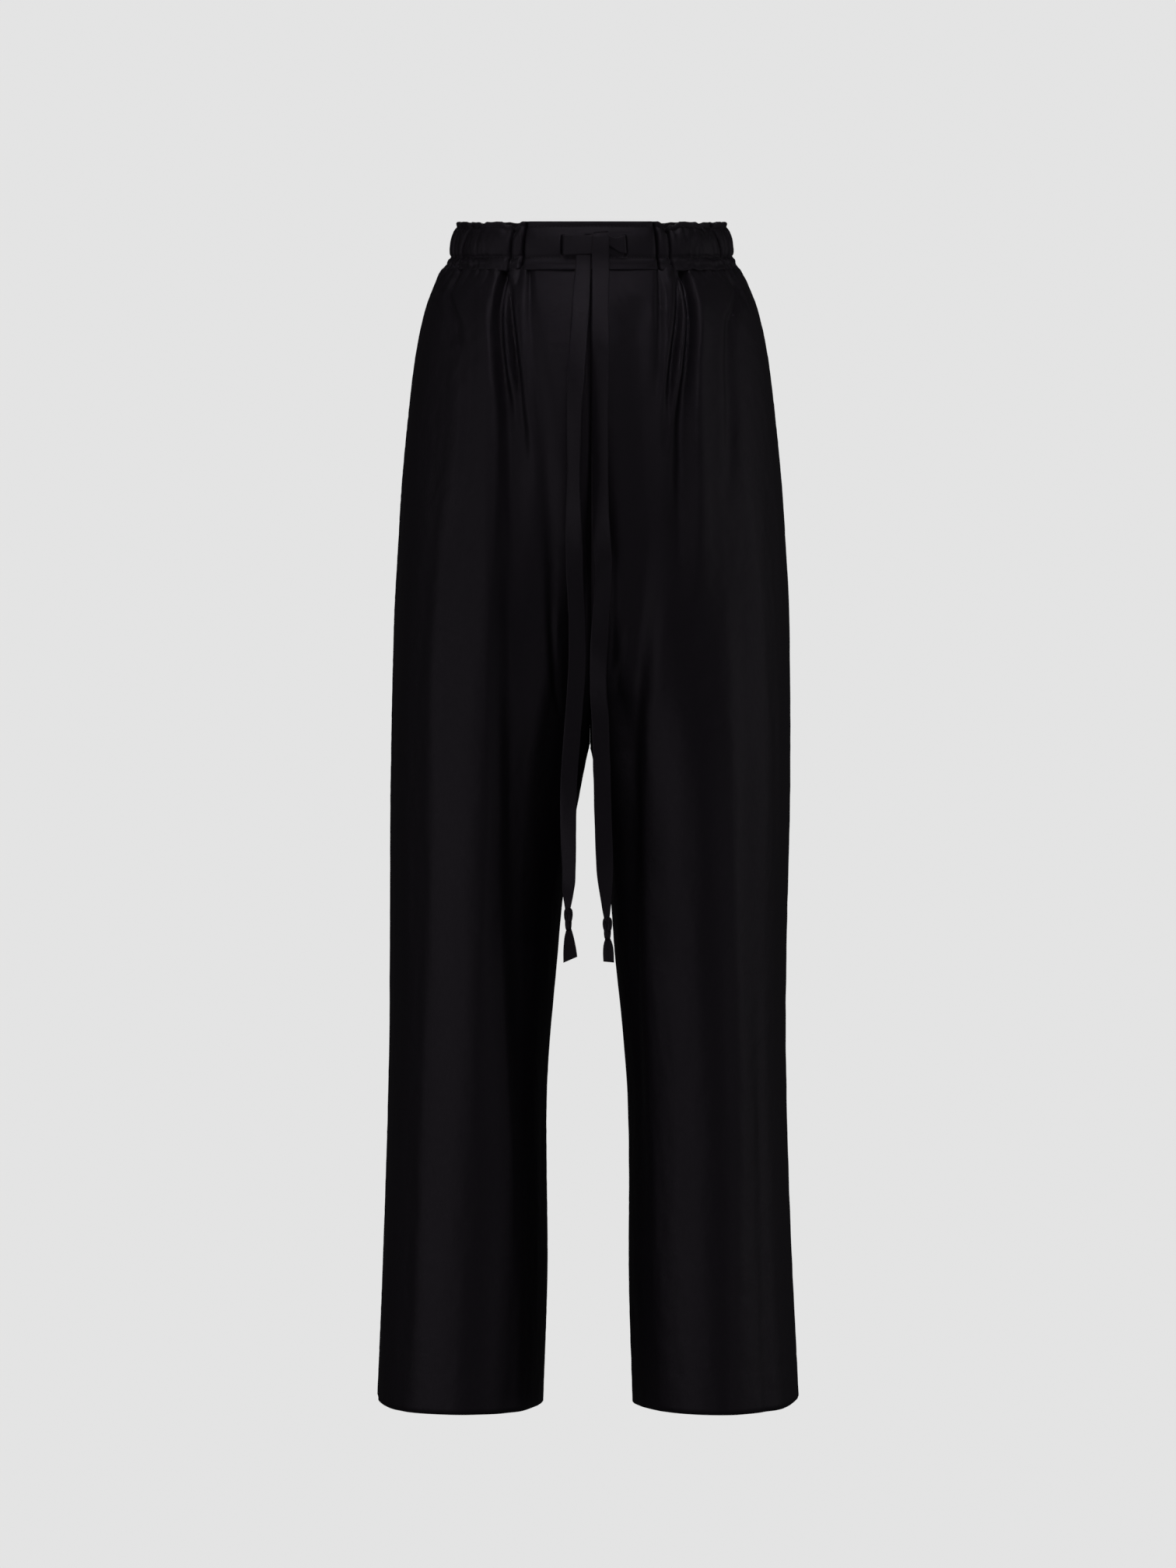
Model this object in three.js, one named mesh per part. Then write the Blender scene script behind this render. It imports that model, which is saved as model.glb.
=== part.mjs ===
// Wide-leg drawstring trousers with an elasticated waist, hollow and filled out as they are when worn.
// Millimetres, +Z up. The front faces -Y, and left and right are the wearer's, so left is +X.
// The origin is the middle of the waist opening, halfway up the elastic casing, where a wearer holds them.
import * as THREE from "three";

// ---- Driving dimensions ----
const SEAM_GAP = 0.3; // between two cut pieces
const CLOTH = 1.2; // wall of one layer of cloth
const HEM_CLOTH = 2.0; // wall where the hem is turned up
const HEM_DEPTH = 42;
const MITRE_LIMIT = 2.5; // most that a wall's edge widens where its seam's plane cuts it aslant
const BAND_LINING = 1.5; // plain inside of the waistband, inwards from its base oval
const WAIST_TILT = 0.1; // the back of the waist stands higher than the front
const TILT_ENDS = -260; // height below which nothing is tilted
const WAIST_SEAM = -22.8; // height of the seam between waistband and legs, at the sides
const CROTCH = -448;
const HEM = -1029.5;
const TAPE_WIDE = 16; // drawstring
const TAPE_THICK = 1.3;

// One row for each section of the legs. side: half the width of the outline. gap: half the space between
// the legs, negative where they still run into each other. front and back: the furthest points along Y.
const SECTIONS = [
  { z: -23, side: 130.5, gap: -130.5, front: -92, back: 96 },
  { z: -35, side: 137, gap: -137, front: -96, back: 103 },
  { z: -62, side: 147, gap: -146, front: -104, back: 114 },
  { z: -103, side: 155.6, gap: -152, front: -111, back: 125 },
  { z: -160, side: 162.5, gap: -145, front: -117, back: 134 },
  { z: -215, side: 167.7, gap: -122, front: -120, back: 137 },
  { z: -270, side: 171, gap: -92, front: -121, back: 135 },
  { z: -325, side: 174, gap: -62, front: -121, back: 129 },
  { z: -380, side: 175.5, gap: -34, front: -120, back: 123 },
  { z: -415, side: 176.2, gap: -13, front: -118.5, back: 120 },
  { z: CROTCH, side: 176.5, gap: SEAM_GAP / 2, front: -117.5, back: 118 },
  { z: -468, side: 176.6, gap: 4.4, front: -117, back: 117 },
  { z: -490, side: 176.7, gap: 8.4, front: -116, back: 116 },
  { z: -530, side: 176.4, gap: 15, front: -114, back: 114 },
  { z: -592, side: 175.6, gap: 22.5, front: -111, back: 112 },
  { z: -642, side: 175.3, gap: 26.5, front: -109, back: 110 },
  { z: -697, side: 175.3, gap: 32, front: -107, back: 109 },
  { z: -752, side: 176.3, gap: 36, front: -105, back: 108 },
  { z: -807, side: 177.7, gap: 37.2, front: -104, back: 108 },
  { z: -918, side: 181.5, gap: 37.2, front: -102, back: 108 },
  { z: HEM, side: 186.3, gap: 41, front: -101, back: 110 },
];

// Heights of the rings of points in a leg panel, closest together at the waist and round the crotch.
const RINGS = [
  WAIST_SEAM - SEAM_GAP, -30, -41, -57, -78, -105, -137, -172, -210, -250, -290, -325, -356, -384, -407,
  -426, -439, -445.5, CROTCH, -455, -469, -492, -530, -582, -650, -725, -805, -890, HEM + HEM_DEPTH, -1008,
  HEM,
];

// Where the columns of points lie across a panel, as shares of the way from the side seam to the inner one.
const FRONT_COLUMNS = [
  0, 0.06, 0.12, 0.18, 0.24, 0.3, 0.36, 0.42, 0.48, 0.53, 0.57, 0.605, 0.64, 0.67, 0.7, 0.73, 0.76, 0.8,
  0.86, 0.93, 1,
];
const BACK_COLUMNS = [
  0, 0.07, 0.14, 0.21, 0.28, 0.34, 0.4, 0.46, 0.52, 0.58, 0.64, 0.7, 0.76, 0.82, 0.88, 0.94, 1,
];
const CROTCH_SWEEP = { share: 0.5, most: 8 }; // how closely the columns that turn into the crotch keep to it

// Soft folds. path: [height, distance from the middle] of the trough. fadeIn and fadeOut: lengths over which
// its depth grows from the top and dies away below. legs: the sides it is on, 1 for left and -1 for right.
const BOTH = [1, -1];
const FRONT_FOLDS = [
  { path: [[-23, 79], [-75, 83], [-145, 82], [-200, 79], [-255, 76], [-310, 73]],
    depth: 9, wide: 7.5, fadeIn: 14, fadeOut: 130, legs: BOTH },
  { path: [[-30, 74], [-90, 69], [-140, 65], [-190, 61]],
    depth: 5.5, wide: 5.5, fadeIn: 22, fadeOut: 80, legs: BOTH },
  { path: [[-23, 56], [-120, 55]], depth: 3, wide: 5, fadeIn: 5, fadeOut: 60, legs: BOTH },
  { path: [[-240, 62], [-340, 56], [-430, 52], [-560, 54], [-700, 60]],
    depth: 7, wide: 20, fadeIn: 90, fadeOut: 200, legs: [-1] },
  { path: [[-170, 42], [-300, 41], [-430, 40], [-560, 46], [-700, 50]],
    depth: 6, wide: 13, fadeIn: 90, fadeOut: 200, legs: [1] },
  { path: [[-270, 112], [-400, 121], [-700, 126], [-1030, 128]],
    depth: 5, wide: 12, fadeIn: 120, fadeOut: 1, legs: [1] },
  { path: [[-470, 150], [-700, 156], [-1030, 161]],
    depth: 3.5, wide: 9, fadeIn: 120, fadeOut: 60, legs: [-1] },
];
const BACK_FOLDS = [
  { path: [[-23, 24], [-120, 26], [-220, 30]], depth: 5, wide: 9, fadeIn: 14, fadeOut: 110, legs: BOTH },
  { path: [[-23, 58], [-120, 62], [-250, 66]], depth: 7, wide: 9, fadeIn: 14, fadeOut: 130, legs: BOTH },
  { path: [[-23, 94], [-100, 103], [-190, 108]], depth: 5, wide: 9, fadeIn: 14, fadeOut: 90, legs: BOTH },
  { path: [[-320, 38], [-420, 34], [-560, 52]], depth: 6, wide: 13, fadeIn: 70, fadeOut: 90, legs: BOTH },
  { path: [[-420, 84], [-700, 96], [-1030, 104]],
    depth: 5, wide: 14, fadeIn: 130, fadeOut: 1, legs: [1] },
  { path: [[-460, 112], [-700, 112], [-1030, 106]],
    depth: 5, wide: 13, fadeIn: 130, fadeOut: 1, legs: [-1] },
];
const FOLD_EDGE = 14; // folds die away over this distance from a seam
const CURVE_STEPS = 160; // points along half an oval, from which the columns are picked

// The waistband from its top edge down. out: how far its cloth stands off the base oval. gather: share of a
// gather's height at that level. lift: share of the top edge's rise and fall.
const BAND_ROWS = [
  { z: 16, out: 1.6, gather: 0.9, lift: 1 },
  { z: 11.5, out: 0.2, gather: 0.35, lift: 0.4 },
  { z: 7.5, out: 2.2, gather: 1, lift: 0.1 },
  { z: -0.5, out: 3.4, gather: 1.15, lift: 0 },
  { z: -9, out: 2.4, gather: 1, lift: 0 },
  { z: -13, out: 0.4, gather: 0.4, lift: 0 },
  { z: -17.5, out: 2, gather: 0.9, lift: 0 },
  { z: WAIST_SEAM, out: 2.8, gather: 0.6, lift: 0 },
];
const BAND_SIDE = 118; // half width and half depth of the waistband's base oval at its top edge
const BAND_DEPTH = 87;
const BAND_FLARE = { side: 0.22, depth: 0.1 }; // growth of each for a millimetre down
const PANEL_EDGE = 56; // the flat front of the waistband ends this far from the middle
const FRONT_GATHERS = [12, 14, 18, 22, 21]; // widths of the gathers from the flat front towards the side
const GATHER_SHAPE = [0, 0.2, 0.5, 0.8]; // where the points lie across a gather
const GATHER_ROUND = 0.7; // below 1 a gather is fuller than a sine wave
// Further round, the gathers differ by a slow beat: from, by, at each step of, starting at.
const GATHER_WIDE = { from: 18, by: 4, step: 2.4, start: 0.7 };
const GATHER_HIGH = { from: 1.95, by: 0.65, step: 1.9, start: 1, widest: 1.1 };
const EDGE_LIFT = { from: 1.44, by: 0.96, step: 2.9, start: 0, pinch: -1.2 };
const FLAT_COLUMNS = 12;
const FLAT_CROWN = { out: 0.5, lift: 0.8 }; // how the flat front stands out and up at its middle

// The drawstring's route, chosen by hand. wide: its width there. turn: degrees that it is turned out of the
// front.
const LEFT_STRAND = [
  { x: 8.9, y: -95.6, z: -2.5, wide: 14, turn: 0 },
  { x: 8.9, y: -96.1, z: -14, wide: 15, turn: 0 },
  { x: 8.8, y: -96.6, z: -32, wide: 15, turn: 0 },
  { x: 8.7, y: -105.8, z: -72, wide: 15, turn: 0 },
  { x: 8.5, y: -113, z: -113, wide: 15.5, turn: 2 },
  { x: 8.6, y: -119.7, z: -180, wide: 16, turn: 4 },
  { x: 9.2, y: -123.4, z: -241, wide: 15.5, turn: 14 },
  { x: 10.6, y: -124.6, z: -274, wide: 15, turn: 36 },
  { x: 11.2, y: -124.8, z: -305, wide: 15, turn: 50 },
  { x: 8.6, y: -124.8, z: -342, wide: 15, turn: 34 },
  { x: 6.6, y: -124.6, z: -389, wide: 15, turn: 18 },
  { x: 8.6, y: -124.5, z: -430, wide: 15, turn: 22 },
  { x: 10.2, y: -124.4, z: -476, wide: 15, turn: 18 },
  { x: 11.2, y: -124.3, z: -517, wide: 15, turn: 10 },
  { x: 12.6, y: -124.2, z: -557, wide: 14.5, turn: 12 },
  { x: 13.6, y: -124.2, z: -584, wide: 10, turn: 28 },
  { x: 14.4, y: -124.2, z: -597, wide: 6, turn: 30 },
];
const RIGHT_STRAND = [
  { x: -5.9, y: -93.9, z: -21.7, wide: 13, turn: 0 },
  { x: -6.6, y: -95.9, z: -38, wide: 14, turn: 0 },
  { x: -8.6, y: -105.6, z: -72, wide: 15.5, turn: 0 },
  { x: -10.6, y: -112, z: -104, wide: 15.5, turn: -6 },
  { x: -13.4, y: -119.6, z: -145, wide: 15, turn: -24 },
  { x: -14.6, y: -126.4, z: -209, wide: 14.5, turn: -46 },
  { x: -14.8, y: -126.2, z: -245, wide: 15, turn: -34 },
  { x: -13.2, y: -125.2, z: -305, wide: 15, turn: -50 },
  { x: -11.4, y: -125, z: -342, wide: 15, turn: -42 },
  { x: -11.8, y: -124.8, z: -385, wide: 15, turn: -28 },
  { x: -15, y: -124.6, z: -430, wide: 15, turn: -14 },
  { x: -18.4, y: -124.5, z: -476, wide: 14.5, turn: -10 },
  { x: -19.2, y: -124.4, z: -517, wide: 14.5, turn: 0 },
  { x: -18.6, y: -124.3, z: -556, wide: 14, turn: 0 },
  { x: -19.2, y: -124.2, z: -575, wide: 10, turn: -10 },
  { x: -19.9, y: -124.2, z: -589, wide: 5, turn: -20 },
];
const RIGHT_LEAD = [
  { x: -24, y: -92.1, z: -12.8, wide: 17 },
  { x: -15, y: -93.1, z: -12.8, wide: 17 },
  { x: -6, y: -93.6, z: -12.9, wide: 17 },
  { x: 3.5, y: -93.8, z: -13, wide: 16 },
];
const LEFT_LEAD = [
  { x: 31, y: -91, z: -12, wide: 16 },
  { x: 26, y: -91.8, z: -12.2, wide: 14 },
  { x: 21, y: -92.6, z: -11.4, wide: 9 },
  { x: 17, y: -93, z: -10, wide: 6 },
];
const RIGHT_TAIL = [
  { x: -18.4, y: -124.2, z: -609.4, wide: 5, turn: 0 },
  { x: -18.3, y: -124.1, z: -618, wide: 9, turn: 6 },
  { x: -17.2, y: -124, z: -634, wide: 12.5, turn: 10 },
];
const LEFT_TAIL = [
  { x: 15, y: -124.2, z: -617.4, wide: 5, turn: 0 },
  { x: 15.4, y: -124.1, z: -625, wide: 9, turn: -6 },
  { x: 15.9, y: -124, z: -636, wide: 9.5, turn: -8 },
];
const KNOTS = {
  drawstring_right_knot: { at: [-19, -124.2, -599.2], half: [4.6, 3.4, 9.8] },
  drawstring_left_knot: { at: [14.8, -124.2, -607.2], half: [5, 3.6, 9.8] },
};
const ROUTE_STEP = 15; // spacing of the points along a strand
const KNOT_SIDES = 10;

// ---- Small tools ----
const smooth = (share) => {
  const s = Math.min(Math.max(share, 0), 1);
  return s * s * (3 - 2 * s);
};

// The value of one column of a table at height z, on a smooth curve through its rows, which run downwards.
function columnAt(rows, column, z) {
  const last = rows.length - 1;
  if (z >= rows[0].z) return rows[0][column];
  if (z <= rows[last].z) return rows[last][column];
  let k = 0;
  while (z < rows[k + 1].z) k++;
  const slope = (i) => {
    const above = rows[Math.max(i - 1, 0)];
    const below = rows[Math.min(i + 1, last)];
    return (below[column] - above[column]) / (below.z - above.z);
  };
  const span = rows[k + 1].z - rows[k].z;
  const q = (z - rows[k].z) / span;
  return (
    rows[k][column] * (1 + 2 * q) * (1 - q) ** 2 +
    slope(k) * span * q * (1 - q) ** 2 +
    rows[k + 1][column] * q * q * (3 - 2 * q) +
    slope(k + 1) * span * q * q * (q - 1)
  );
}

// A value that rises and falls with a beat as k counts up.
const beat = ({ from, by, step, start }, k) => from + by * Math.sin(step * k + start);

// How far a point at base height z and depth y is raised by the tilt of the waist.
const tilt = (z, y) => WAIST_TILT * y * smooth((z - TILT_ENDS) / (WAIST_SEAM - TILT_ENDS));

// A closed wall between two sheets of points with the same rows and columns. outward is 1 where the outer
// sheet's columns, then rows, turn anticlockwise seen from outside, and -1 where they turn clockwise.
function wallBetween(outer, inner, outward) {
  const rows = outer.length;
  const columns = outer[0].length;
  const points = [...outer.flat(), ...inner.flat()];
  const out = (r, c) => r * columns + c;
  const inn = (r, c) => (rows + r) * columns + c;
  const index = [];
  const quad = (a, b, c, d) => index.push(...(outward > 0 ? [a, b, c, a, c, d] : [a, c, b, a, d, c]));
  for (let r = 0; r < rows - 1; r++) {
    for (let c = 0; c < columns - 1; c++) {
      quad(out(r, c), out(r, c + 1), out(r + 1, c + 1), out(r + 1, c));
      quad(inn(r, c), inn(r + 1, c), inn(r + 1, c + 1), inn(r, c + 1));
    }
    quad(out(r, 0), out(r + 1, 0), inn(r + 1, 0), inn(r, 0));
    const end = columns - 1;
    quad(out(r + 1, end), out(r, end), inn(r, end), inn(r + 1, end));
  }
  for (let c = 0; c < columns - 1; c++) {
    quad(out(0, c + 1), out(0, c), inn(0, c), inn(0, c + 1));
    quad(out(rows - 1, c), out(rows - 1, c + 1), inn(rows - 1, c + 1), inn(rows - 1, c));
  }
  const geometry = new THREE.BufferGeometry().setFromPoints(points);
  geometry.setIndex(index);
  geometry.computeVertexNormals();
  return geometry;
}

// The sheet's normal at a point, pointing out of the wall.
function normalAt(sheet, r, c, outward) {
  const row = sheet[r];
  const across = row[Math.min(c + 1, row.length - 1)].clone().sub(row[Math.max(c - 1, 0)]);
  const down = sheet[Math.min(r + 1, sheet.length - 1)][c].clone().sub(sheet[Math.max(r - 1, 0)][c]);
  return across.cross(down).normalize().multiplyScalar(outward);
}

// ---- Legs ----
// The curve of one leg's front or back at height z, as points with the distance along it from the side seam.
// face is -1 for the front and 1 for the back. x is measured outwards from the middle.
function sectionCurve(z, face) {
  const side = columnAt(SECTIONS, "side", z);
  const gap = columnAt(SECTIONS, "gap", z);
  const front = columnAt(SECTIONS, "front", z);
  const back = columnAt(SECTIONS, "back", z);
  const middle = (side + gap) / 2;
  const wide = (side - gap) / 2;
  const centre = (front + back) / 2;
  const deep = (back - front) / 2;
  // Above the crotch the oval ends at the middle of the garment, below it at the inside leg.
  const end = Math.acos(Math.max((SEAM_GAP / 2 - middle) / wide, -1));
  const curve = [];
  let run = 0;
  for (let k = 0; k <= CURVE_STEPS; k++) {
    const angle = (end * k) / CURVE_STEPS;
    const x = middle + wide * Math.cos(angle);
    const y = centre + face * (SEAM_GAP / 2 + deep * Math.sin(angle));
    if (k) run += Math.hypot(x - curve[k - 1].x, y - curve[k - 1].y);
    const out = new THREE.Vector2(deep * Math.cos(angle), face * wide * Math.sin(angle)).normalize();
    curve.push({ x, y, out, run });
  }
  const whole = (Math.PI / 2) * Math.sqrt(2 * (wide * wide + deep * deep));
  return { points: curve, total: run, whole: Math.max(whole, run) };
}

// Where a column lies along the curve. Only those next to the inner seam follow the crotch's sharp turn.
function columnRun(curve, share) {
  const cut = curve.whole - curve.total;
  const power = (CROTCH_SWEEP.share * curve.whole) / Math.max(cut, 1);
  return share * curve.whole - cut * share ** Math.min(Math.max(power, 1), CROTCH_SWEEP.most);
}

// The place on the curve where a value of it, either run or x, first passes the one asked for.
function placeOn(curve, name, value) {
  const rising = name === "run";
  const { points } = curve;
  let k = 1;
  while (k < points.length - 1 && (rising ? points[k][name] < value : points[k][name] > value)) k++;
  const [a, b] = [points[k - 1], points[k]];
  const q = Math.min(Math.max((value - a[name]) / (b[name] - a[name] || 1), 0), 1);
  return {
    x: a.x + q * (b.x - a.x),
    y: a.y + q * (b.y - a.y),
    run: a.run + q * (b.run - a.run),
    out: a.out.clone().lerp(b.out, q).normalize(),
  };
}

// The depth of all folds at a place on the curve at height z.
function foldDepth(folds, leg, curve, place, z) {
  const fromSeams = smooth(place.run / FOLD_EDGE) * smooth((curve.total - place.run) / FOLD_EDGE);
  let depth = 0;
  for (const fold of folds) {
    const top = fold.path[0][0];
    const bottom = fold.path[fold.path.length - 1][0];
    if (!fold.legs.includes(leg) || z > top || z < bottom) continue;
    const trough = columnAt(fold.path.map(([height, x]) => ({ z: height, x })), "x", z);
    const away = (place.run - placeOn(curve, "x", trough).run) / fold.wide;
    const strength = smooth((top - z) / fold.fadeIn) * smooth((z - bottom) / fold.fadeOut);
    depth += fold.depth * strength * Math.exp(-away * away);
  }
  return depth * fromSeams;
}

// A leg panel. leg is 1 for the left leg and -1 for the right, face is -1 for the front and 1 for the back.
function legPanel(leg, face) {
  const folds = face < 0 ? FRONT_FOLDS : BACK_FOLDS;
  const columns = face < 0 ? FRONT_COLUMNS : BACK_COLUMNS;
  const outer = RINGS.map((z) => {
    const curve = sectionCurve(z, face);
    return columns.map((share) => {
      const place = placeOn(curve, "run", columnRun(curve, share));
      const depth = foldDepth(folds, leg, curve, place, z);
      const y = place.y - place.out.y * depth;
      return new THREE.Vector3(leg * (place.x - place.out.x * depth), y, z + tilt(z, y));
    });
  });
  const outward = -leg * face;
  const inner = outer.map((row, r) =>
    row.map((point, c) => {
      const normal = normalAt(outer, r, c, outward);
      const atCentreSeam = c === row.length - 1 && RINGS[r] > CROTCH;
      const atSeam = c === 0 || c === row.length - 1;
      // At a seam the wall's edge stays in the seam's own plane, so it never reaches into its neighbour.
      if (atCentreSeam) normal.x = 0;
      else if (atSeam) normal.y = 0;
      const stretch = Math.min(1 / normal.length(), MITRE_LIMIT);
      const thick = RINGS[r] <= HEM + HEM_DEPTH ? HEM_CLOTH : CLOTH;
      return point.clone().addScaledVector(normal.normalize(), -thick * (atSeam ? stretch : 1));
    }),
  );
  return wallBetween(outer, inner, outward);
}

// ---- Waistband ----
const bandOval = (z) => ({
  side: BAND_SIDE + (BAND_ROWS[0].z - z) * BAND_FLARE.side,
  depth: BAND_DEPTH + (BAND_ROWS[0].z - z) * BAND_FLARE.depth,
});

// A point of the waistband at an angle, anticlockwise from the left, standing out from the base oval.
function bandPoint(angle, z, out, lift) {
  const oval = bandOval(z);
  const normal = new THREE.Vector2(oval.depth * Math.cos(angle), oval.side * Math.sin(angle)).normalize();
  const x = oval.side * Math.cos(angle) + normal.x * out;
  const y = oval.depth * Math.sin(angle) + normal.y * out;
  return new THREE.Vector3(x, y, z + lift + WAIST_TILT * y);
}

// The widths of the gathers from the flat front to the middle of the back.
function gatherWidths(halfLength) {
  const widths = [...FRONT_GATHERS];
  let used = widths.reduce((sum, width) => sum + width, 0);
  for (let k = 0; used < halfLength - GATHER_WIDE.from / 2; k++) {
    const width = beat(GATHER_WIDE, k);
    widths.push(width);
    used += width;
  }
  return widths.map((width) => (width * halfLength) / used);
}

// The columns of the gathered part, each with its angle, the gather's height and the top edge's rise there.
function gatheredColumns(from) {
  const half = Math.PI / 2 - from;
  const runs = [0];
  for (let k = 1; k <= CURVE_STEPS; k++) {
    const angle = from + (half * (k - 0.5)) / CURVE_STEPS;
    const speed = Math.hypot(BAND_SIDE * Math.sin(angle), BAND_DEPTH * Math.cos(angle));
    runs.push(runs[k - 1] + (speed * half) / CURVE_STEPS);
  }
  const angleAt = (run) => {
    let k = 1;
    while (k < CURVE_STEPS && runs[k] < run) k++;
    return from + (half * (k - 1 + (run - runs[k - 1]) / (runs[k] - runs[k - 1]))) / CURVE_STEPS;
  };
  const columns = [];
  let start = 0;
  gatherWidths(runs[CURVE_STEPS]).forEach((width, k) => {
    for (const share of GATHER_SHAPE) {
      const arch = Math.sin(Math.PI * share) ** GATHER_ROUND;
      const high = beat(GATHER_HIGH, k) * Math.min(width / GATHER_WIDE.from, GATHER_HIGH.widest);
      const lift = beat(EDGE_LIFT, k) * (arch - 0.5);
      columns.push({ angle: angleAt(start + share * width), gather: high * arch, lift });
    }
    start += width;
  });
  const lastPinch = { angle: Math.PI / 2, gather: 0, lift: EDGE_LIFT.pinch };
  const mirrored = columns.map((column) => ({ ...column, angle: Math.PI - column.angle })).reverse();
  return [...columns, lastPinch, ...mirrored];
}

function bandWall(columns) {
  const outer = BAND_ROWS.map((row) =>
    columns.map(({ angle, gather, lift }) =>
      bandPoint(angle, row.z, row.out + row.gather * gather, row.lift * lift),
    ),
  );
  const inner = BAND_ROWS.map((row) =>
    columns.map(({ angle, lift }) => bandPoint(angle, row.z, -BAND_LINING, row.lift * lift)),
  );
  return wallBetween(outer, inner, -1);
}

// The angle of the flat front's end, with the gap that its seam keeps.
const flatEnd = (gap) => -Math.acos((PANEL_EDGE + gap) / BAND_SIDE);

function flatBand() {
  const end = flatEnd(-SEAM_GAP / 2);
  const start = -Math.PI - end;
  const columns = Array.from({ length: FLAT_COLUMNS + 1 }, (_, k) => {
    const share = k / FLAT_COLUMNS;
    const crown = Math.sin(Math.PI * share);
    const lift = FLAT_CROWN.lift * crown + EDGE_LIFT.pinch;
    return { angle: start + (end - start) * share, gather: FLAT_CROWN.out * crown, lift };
  });
  return bandWall(columns);
}

// ---- Drawstring ----
// The route again, with points a step apart, as a curve through its own.
function smoothRoute(route, step) {
  const places = route.map(({ x, y, z }) => new THREE.Vector3(x, y, z));
  const curve = new THREE.CatmullRomCurve3(places, false, "centripetal");
  const steps = Math.max(Math.round(curve.getLength() / step), route.length - 1);
  return Array.from({ length: steps + 1 }, (_, k) => {
    const at = (k / steps) * (route.length - 1);
    const i = Math.min(Math.floor(at), route.length - 2);
    const q = at - i;
    const mix = (name) => route[i][name] * (1 - q) + route[i + 1][name] * q;
    return { point: curve.getPoint(k / steps), wide: mix("wide"), turn: mix("turn") };
  });
}

// A flat tape along a route. acrossAt gives the direction of its width at a turn in degrees.
function tape(route, acrossAt, facing) {
  const rows = smoothRoute(route, ROUTE_STEP);
  const sheets = [1, -1].map((side) =>
    rows.map(({ point, wide, turn }, r) => {
      const across = acrossAt(turn);
      const along = rows[Math.min(r + 1, rows.length - 1)].point.clone().sub(rows[Math.max(r - 1, 0)].point);
      const out = along.cross(across).normalize().multiplyScalar((facing * side * TAPE_THICK) / 2);
      return [-1, 1].map((end) => point.clone().addScaledVector(across, (end * wide) / 2).add(out));
    }),
  );
  return wallBetween(sheets[0], sheets[1], -facing);
}

const acrossFront = (turn) => {
  const angle = THREE.MathUtils.degToRad(turn);
  return new THREE.Vector3(Math.cos(angle), Math.sin(angle), 0);
};
const upright = () => new THREE.Vector3(0, 0, 1);

const knot = ({ half }) => new THREE.SphereGeometry(1, KNOT_SIDES, KNOT_SIDES).scale(...half);

// ---- The trousers ----
const black = { color: 0x141418, roughness: 0.55, metalness: 0 };
const clothMaterial = new THREE.MeshStandardMaterial(black);
const bandMaterial = new THREE.MeshStandardMaterial({ ...black, color: 0x17171b });
const tapeMaterial = new THREE.MeshStandardMaterial({ ...black, color: 0x1b1b1f, roughness: 0.45 });

const trousers = new THREE.Group();
function add(name, geometry, material) {
  const mesh = new THREE.Mesh(geometry, material);
  mesh.name = name;
  trousers.add(mesh);
  return mesh;
}

for (const [legName, leg] of [["left", 1], ["right", -1]]) {
  add("front_" + legName + "_leg", legPanel(leg, -1), clothMaterial);
  add("back_" + legName + "_leg", legPanel(leg, 1), clothMaterial);
}
add("waistband_gathered", bandWall(gatheredColumns(flatEnd(SEAM_GAP / 2))), bandMaterial);
add("waistband_front", flatBand(), bandMaterial);
add("drawstring_left", tape(LEFT_STRAND, acrossFront, 1), tapeMaterial);
add("drawstring_right", tape(RIGHT_STRAND, acrossFront, 1), tapeMaterial);
add("drawstring_left_lead", tape(LEFT_LEAD, upright, 1), tapeMaterial);
add("drawstring_right_lead", tape(RIGHT_LEAD, upright, 1), tapeMaterial);
add("drawstring_left_tail", tape(LEFT_TAIL, acrossFront, 1), tapeMaterial);
add("drawstring_right_tail", tape(RIGHT_TAIL, acrossFront, 1), tapeMaterial);
for (const [name, shape] of Object.entries(KNOTS)) {
  add(name, knot(shape), tapeMaterial).position.set(...shape.at);
}

export default trousers;
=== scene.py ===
"""Wide-leg drawstring trousers in black satin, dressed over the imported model.

The front faces -Y, +Z is up and the wearer's left is +X. Sizes are in millimetres, and MM turns them
into metres.
"""

import bisect
import math
from collections import namedtuple

import bmesh
import bpy
from mathutils import Matrix, Vector, noise


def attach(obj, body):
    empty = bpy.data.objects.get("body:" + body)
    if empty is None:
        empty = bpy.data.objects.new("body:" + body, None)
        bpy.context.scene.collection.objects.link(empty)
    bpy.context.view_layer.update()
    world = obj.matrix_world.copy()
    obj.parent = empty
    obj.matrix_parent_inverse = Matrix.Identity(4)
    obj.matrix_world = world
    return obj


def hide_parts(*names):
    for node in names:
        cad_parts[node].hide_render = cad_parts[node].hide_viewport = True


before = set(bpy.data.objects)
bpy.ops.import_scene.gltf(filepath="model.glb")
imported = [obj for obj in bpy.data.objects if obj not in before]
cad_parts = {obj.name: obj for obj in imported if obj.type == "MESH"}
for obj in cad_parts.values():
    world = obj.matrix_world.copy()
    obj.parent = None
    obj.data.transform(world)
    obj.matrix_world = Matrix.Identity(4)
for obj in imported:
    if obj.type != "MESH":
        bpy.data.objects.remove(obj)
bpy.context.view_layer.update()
MM = 0.001
BODY = "root"

# ---- Sizes that the whole garment shares ----
CLOTH = 0.55  # thickness of one layer
WAIST_TILT = 0.1  # the back of the waist stands higher than the front
TILT_ENDS = -260  # below this the tilt has died away
WAIST_SEAM = -25  # heights, from the mount at the waist
CROTCH = -448
HEM = -1029.5
HEM_DEPTH = 41
HEM_FOLD = 0.8  # radius of the fold at the bottom edge

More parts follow.
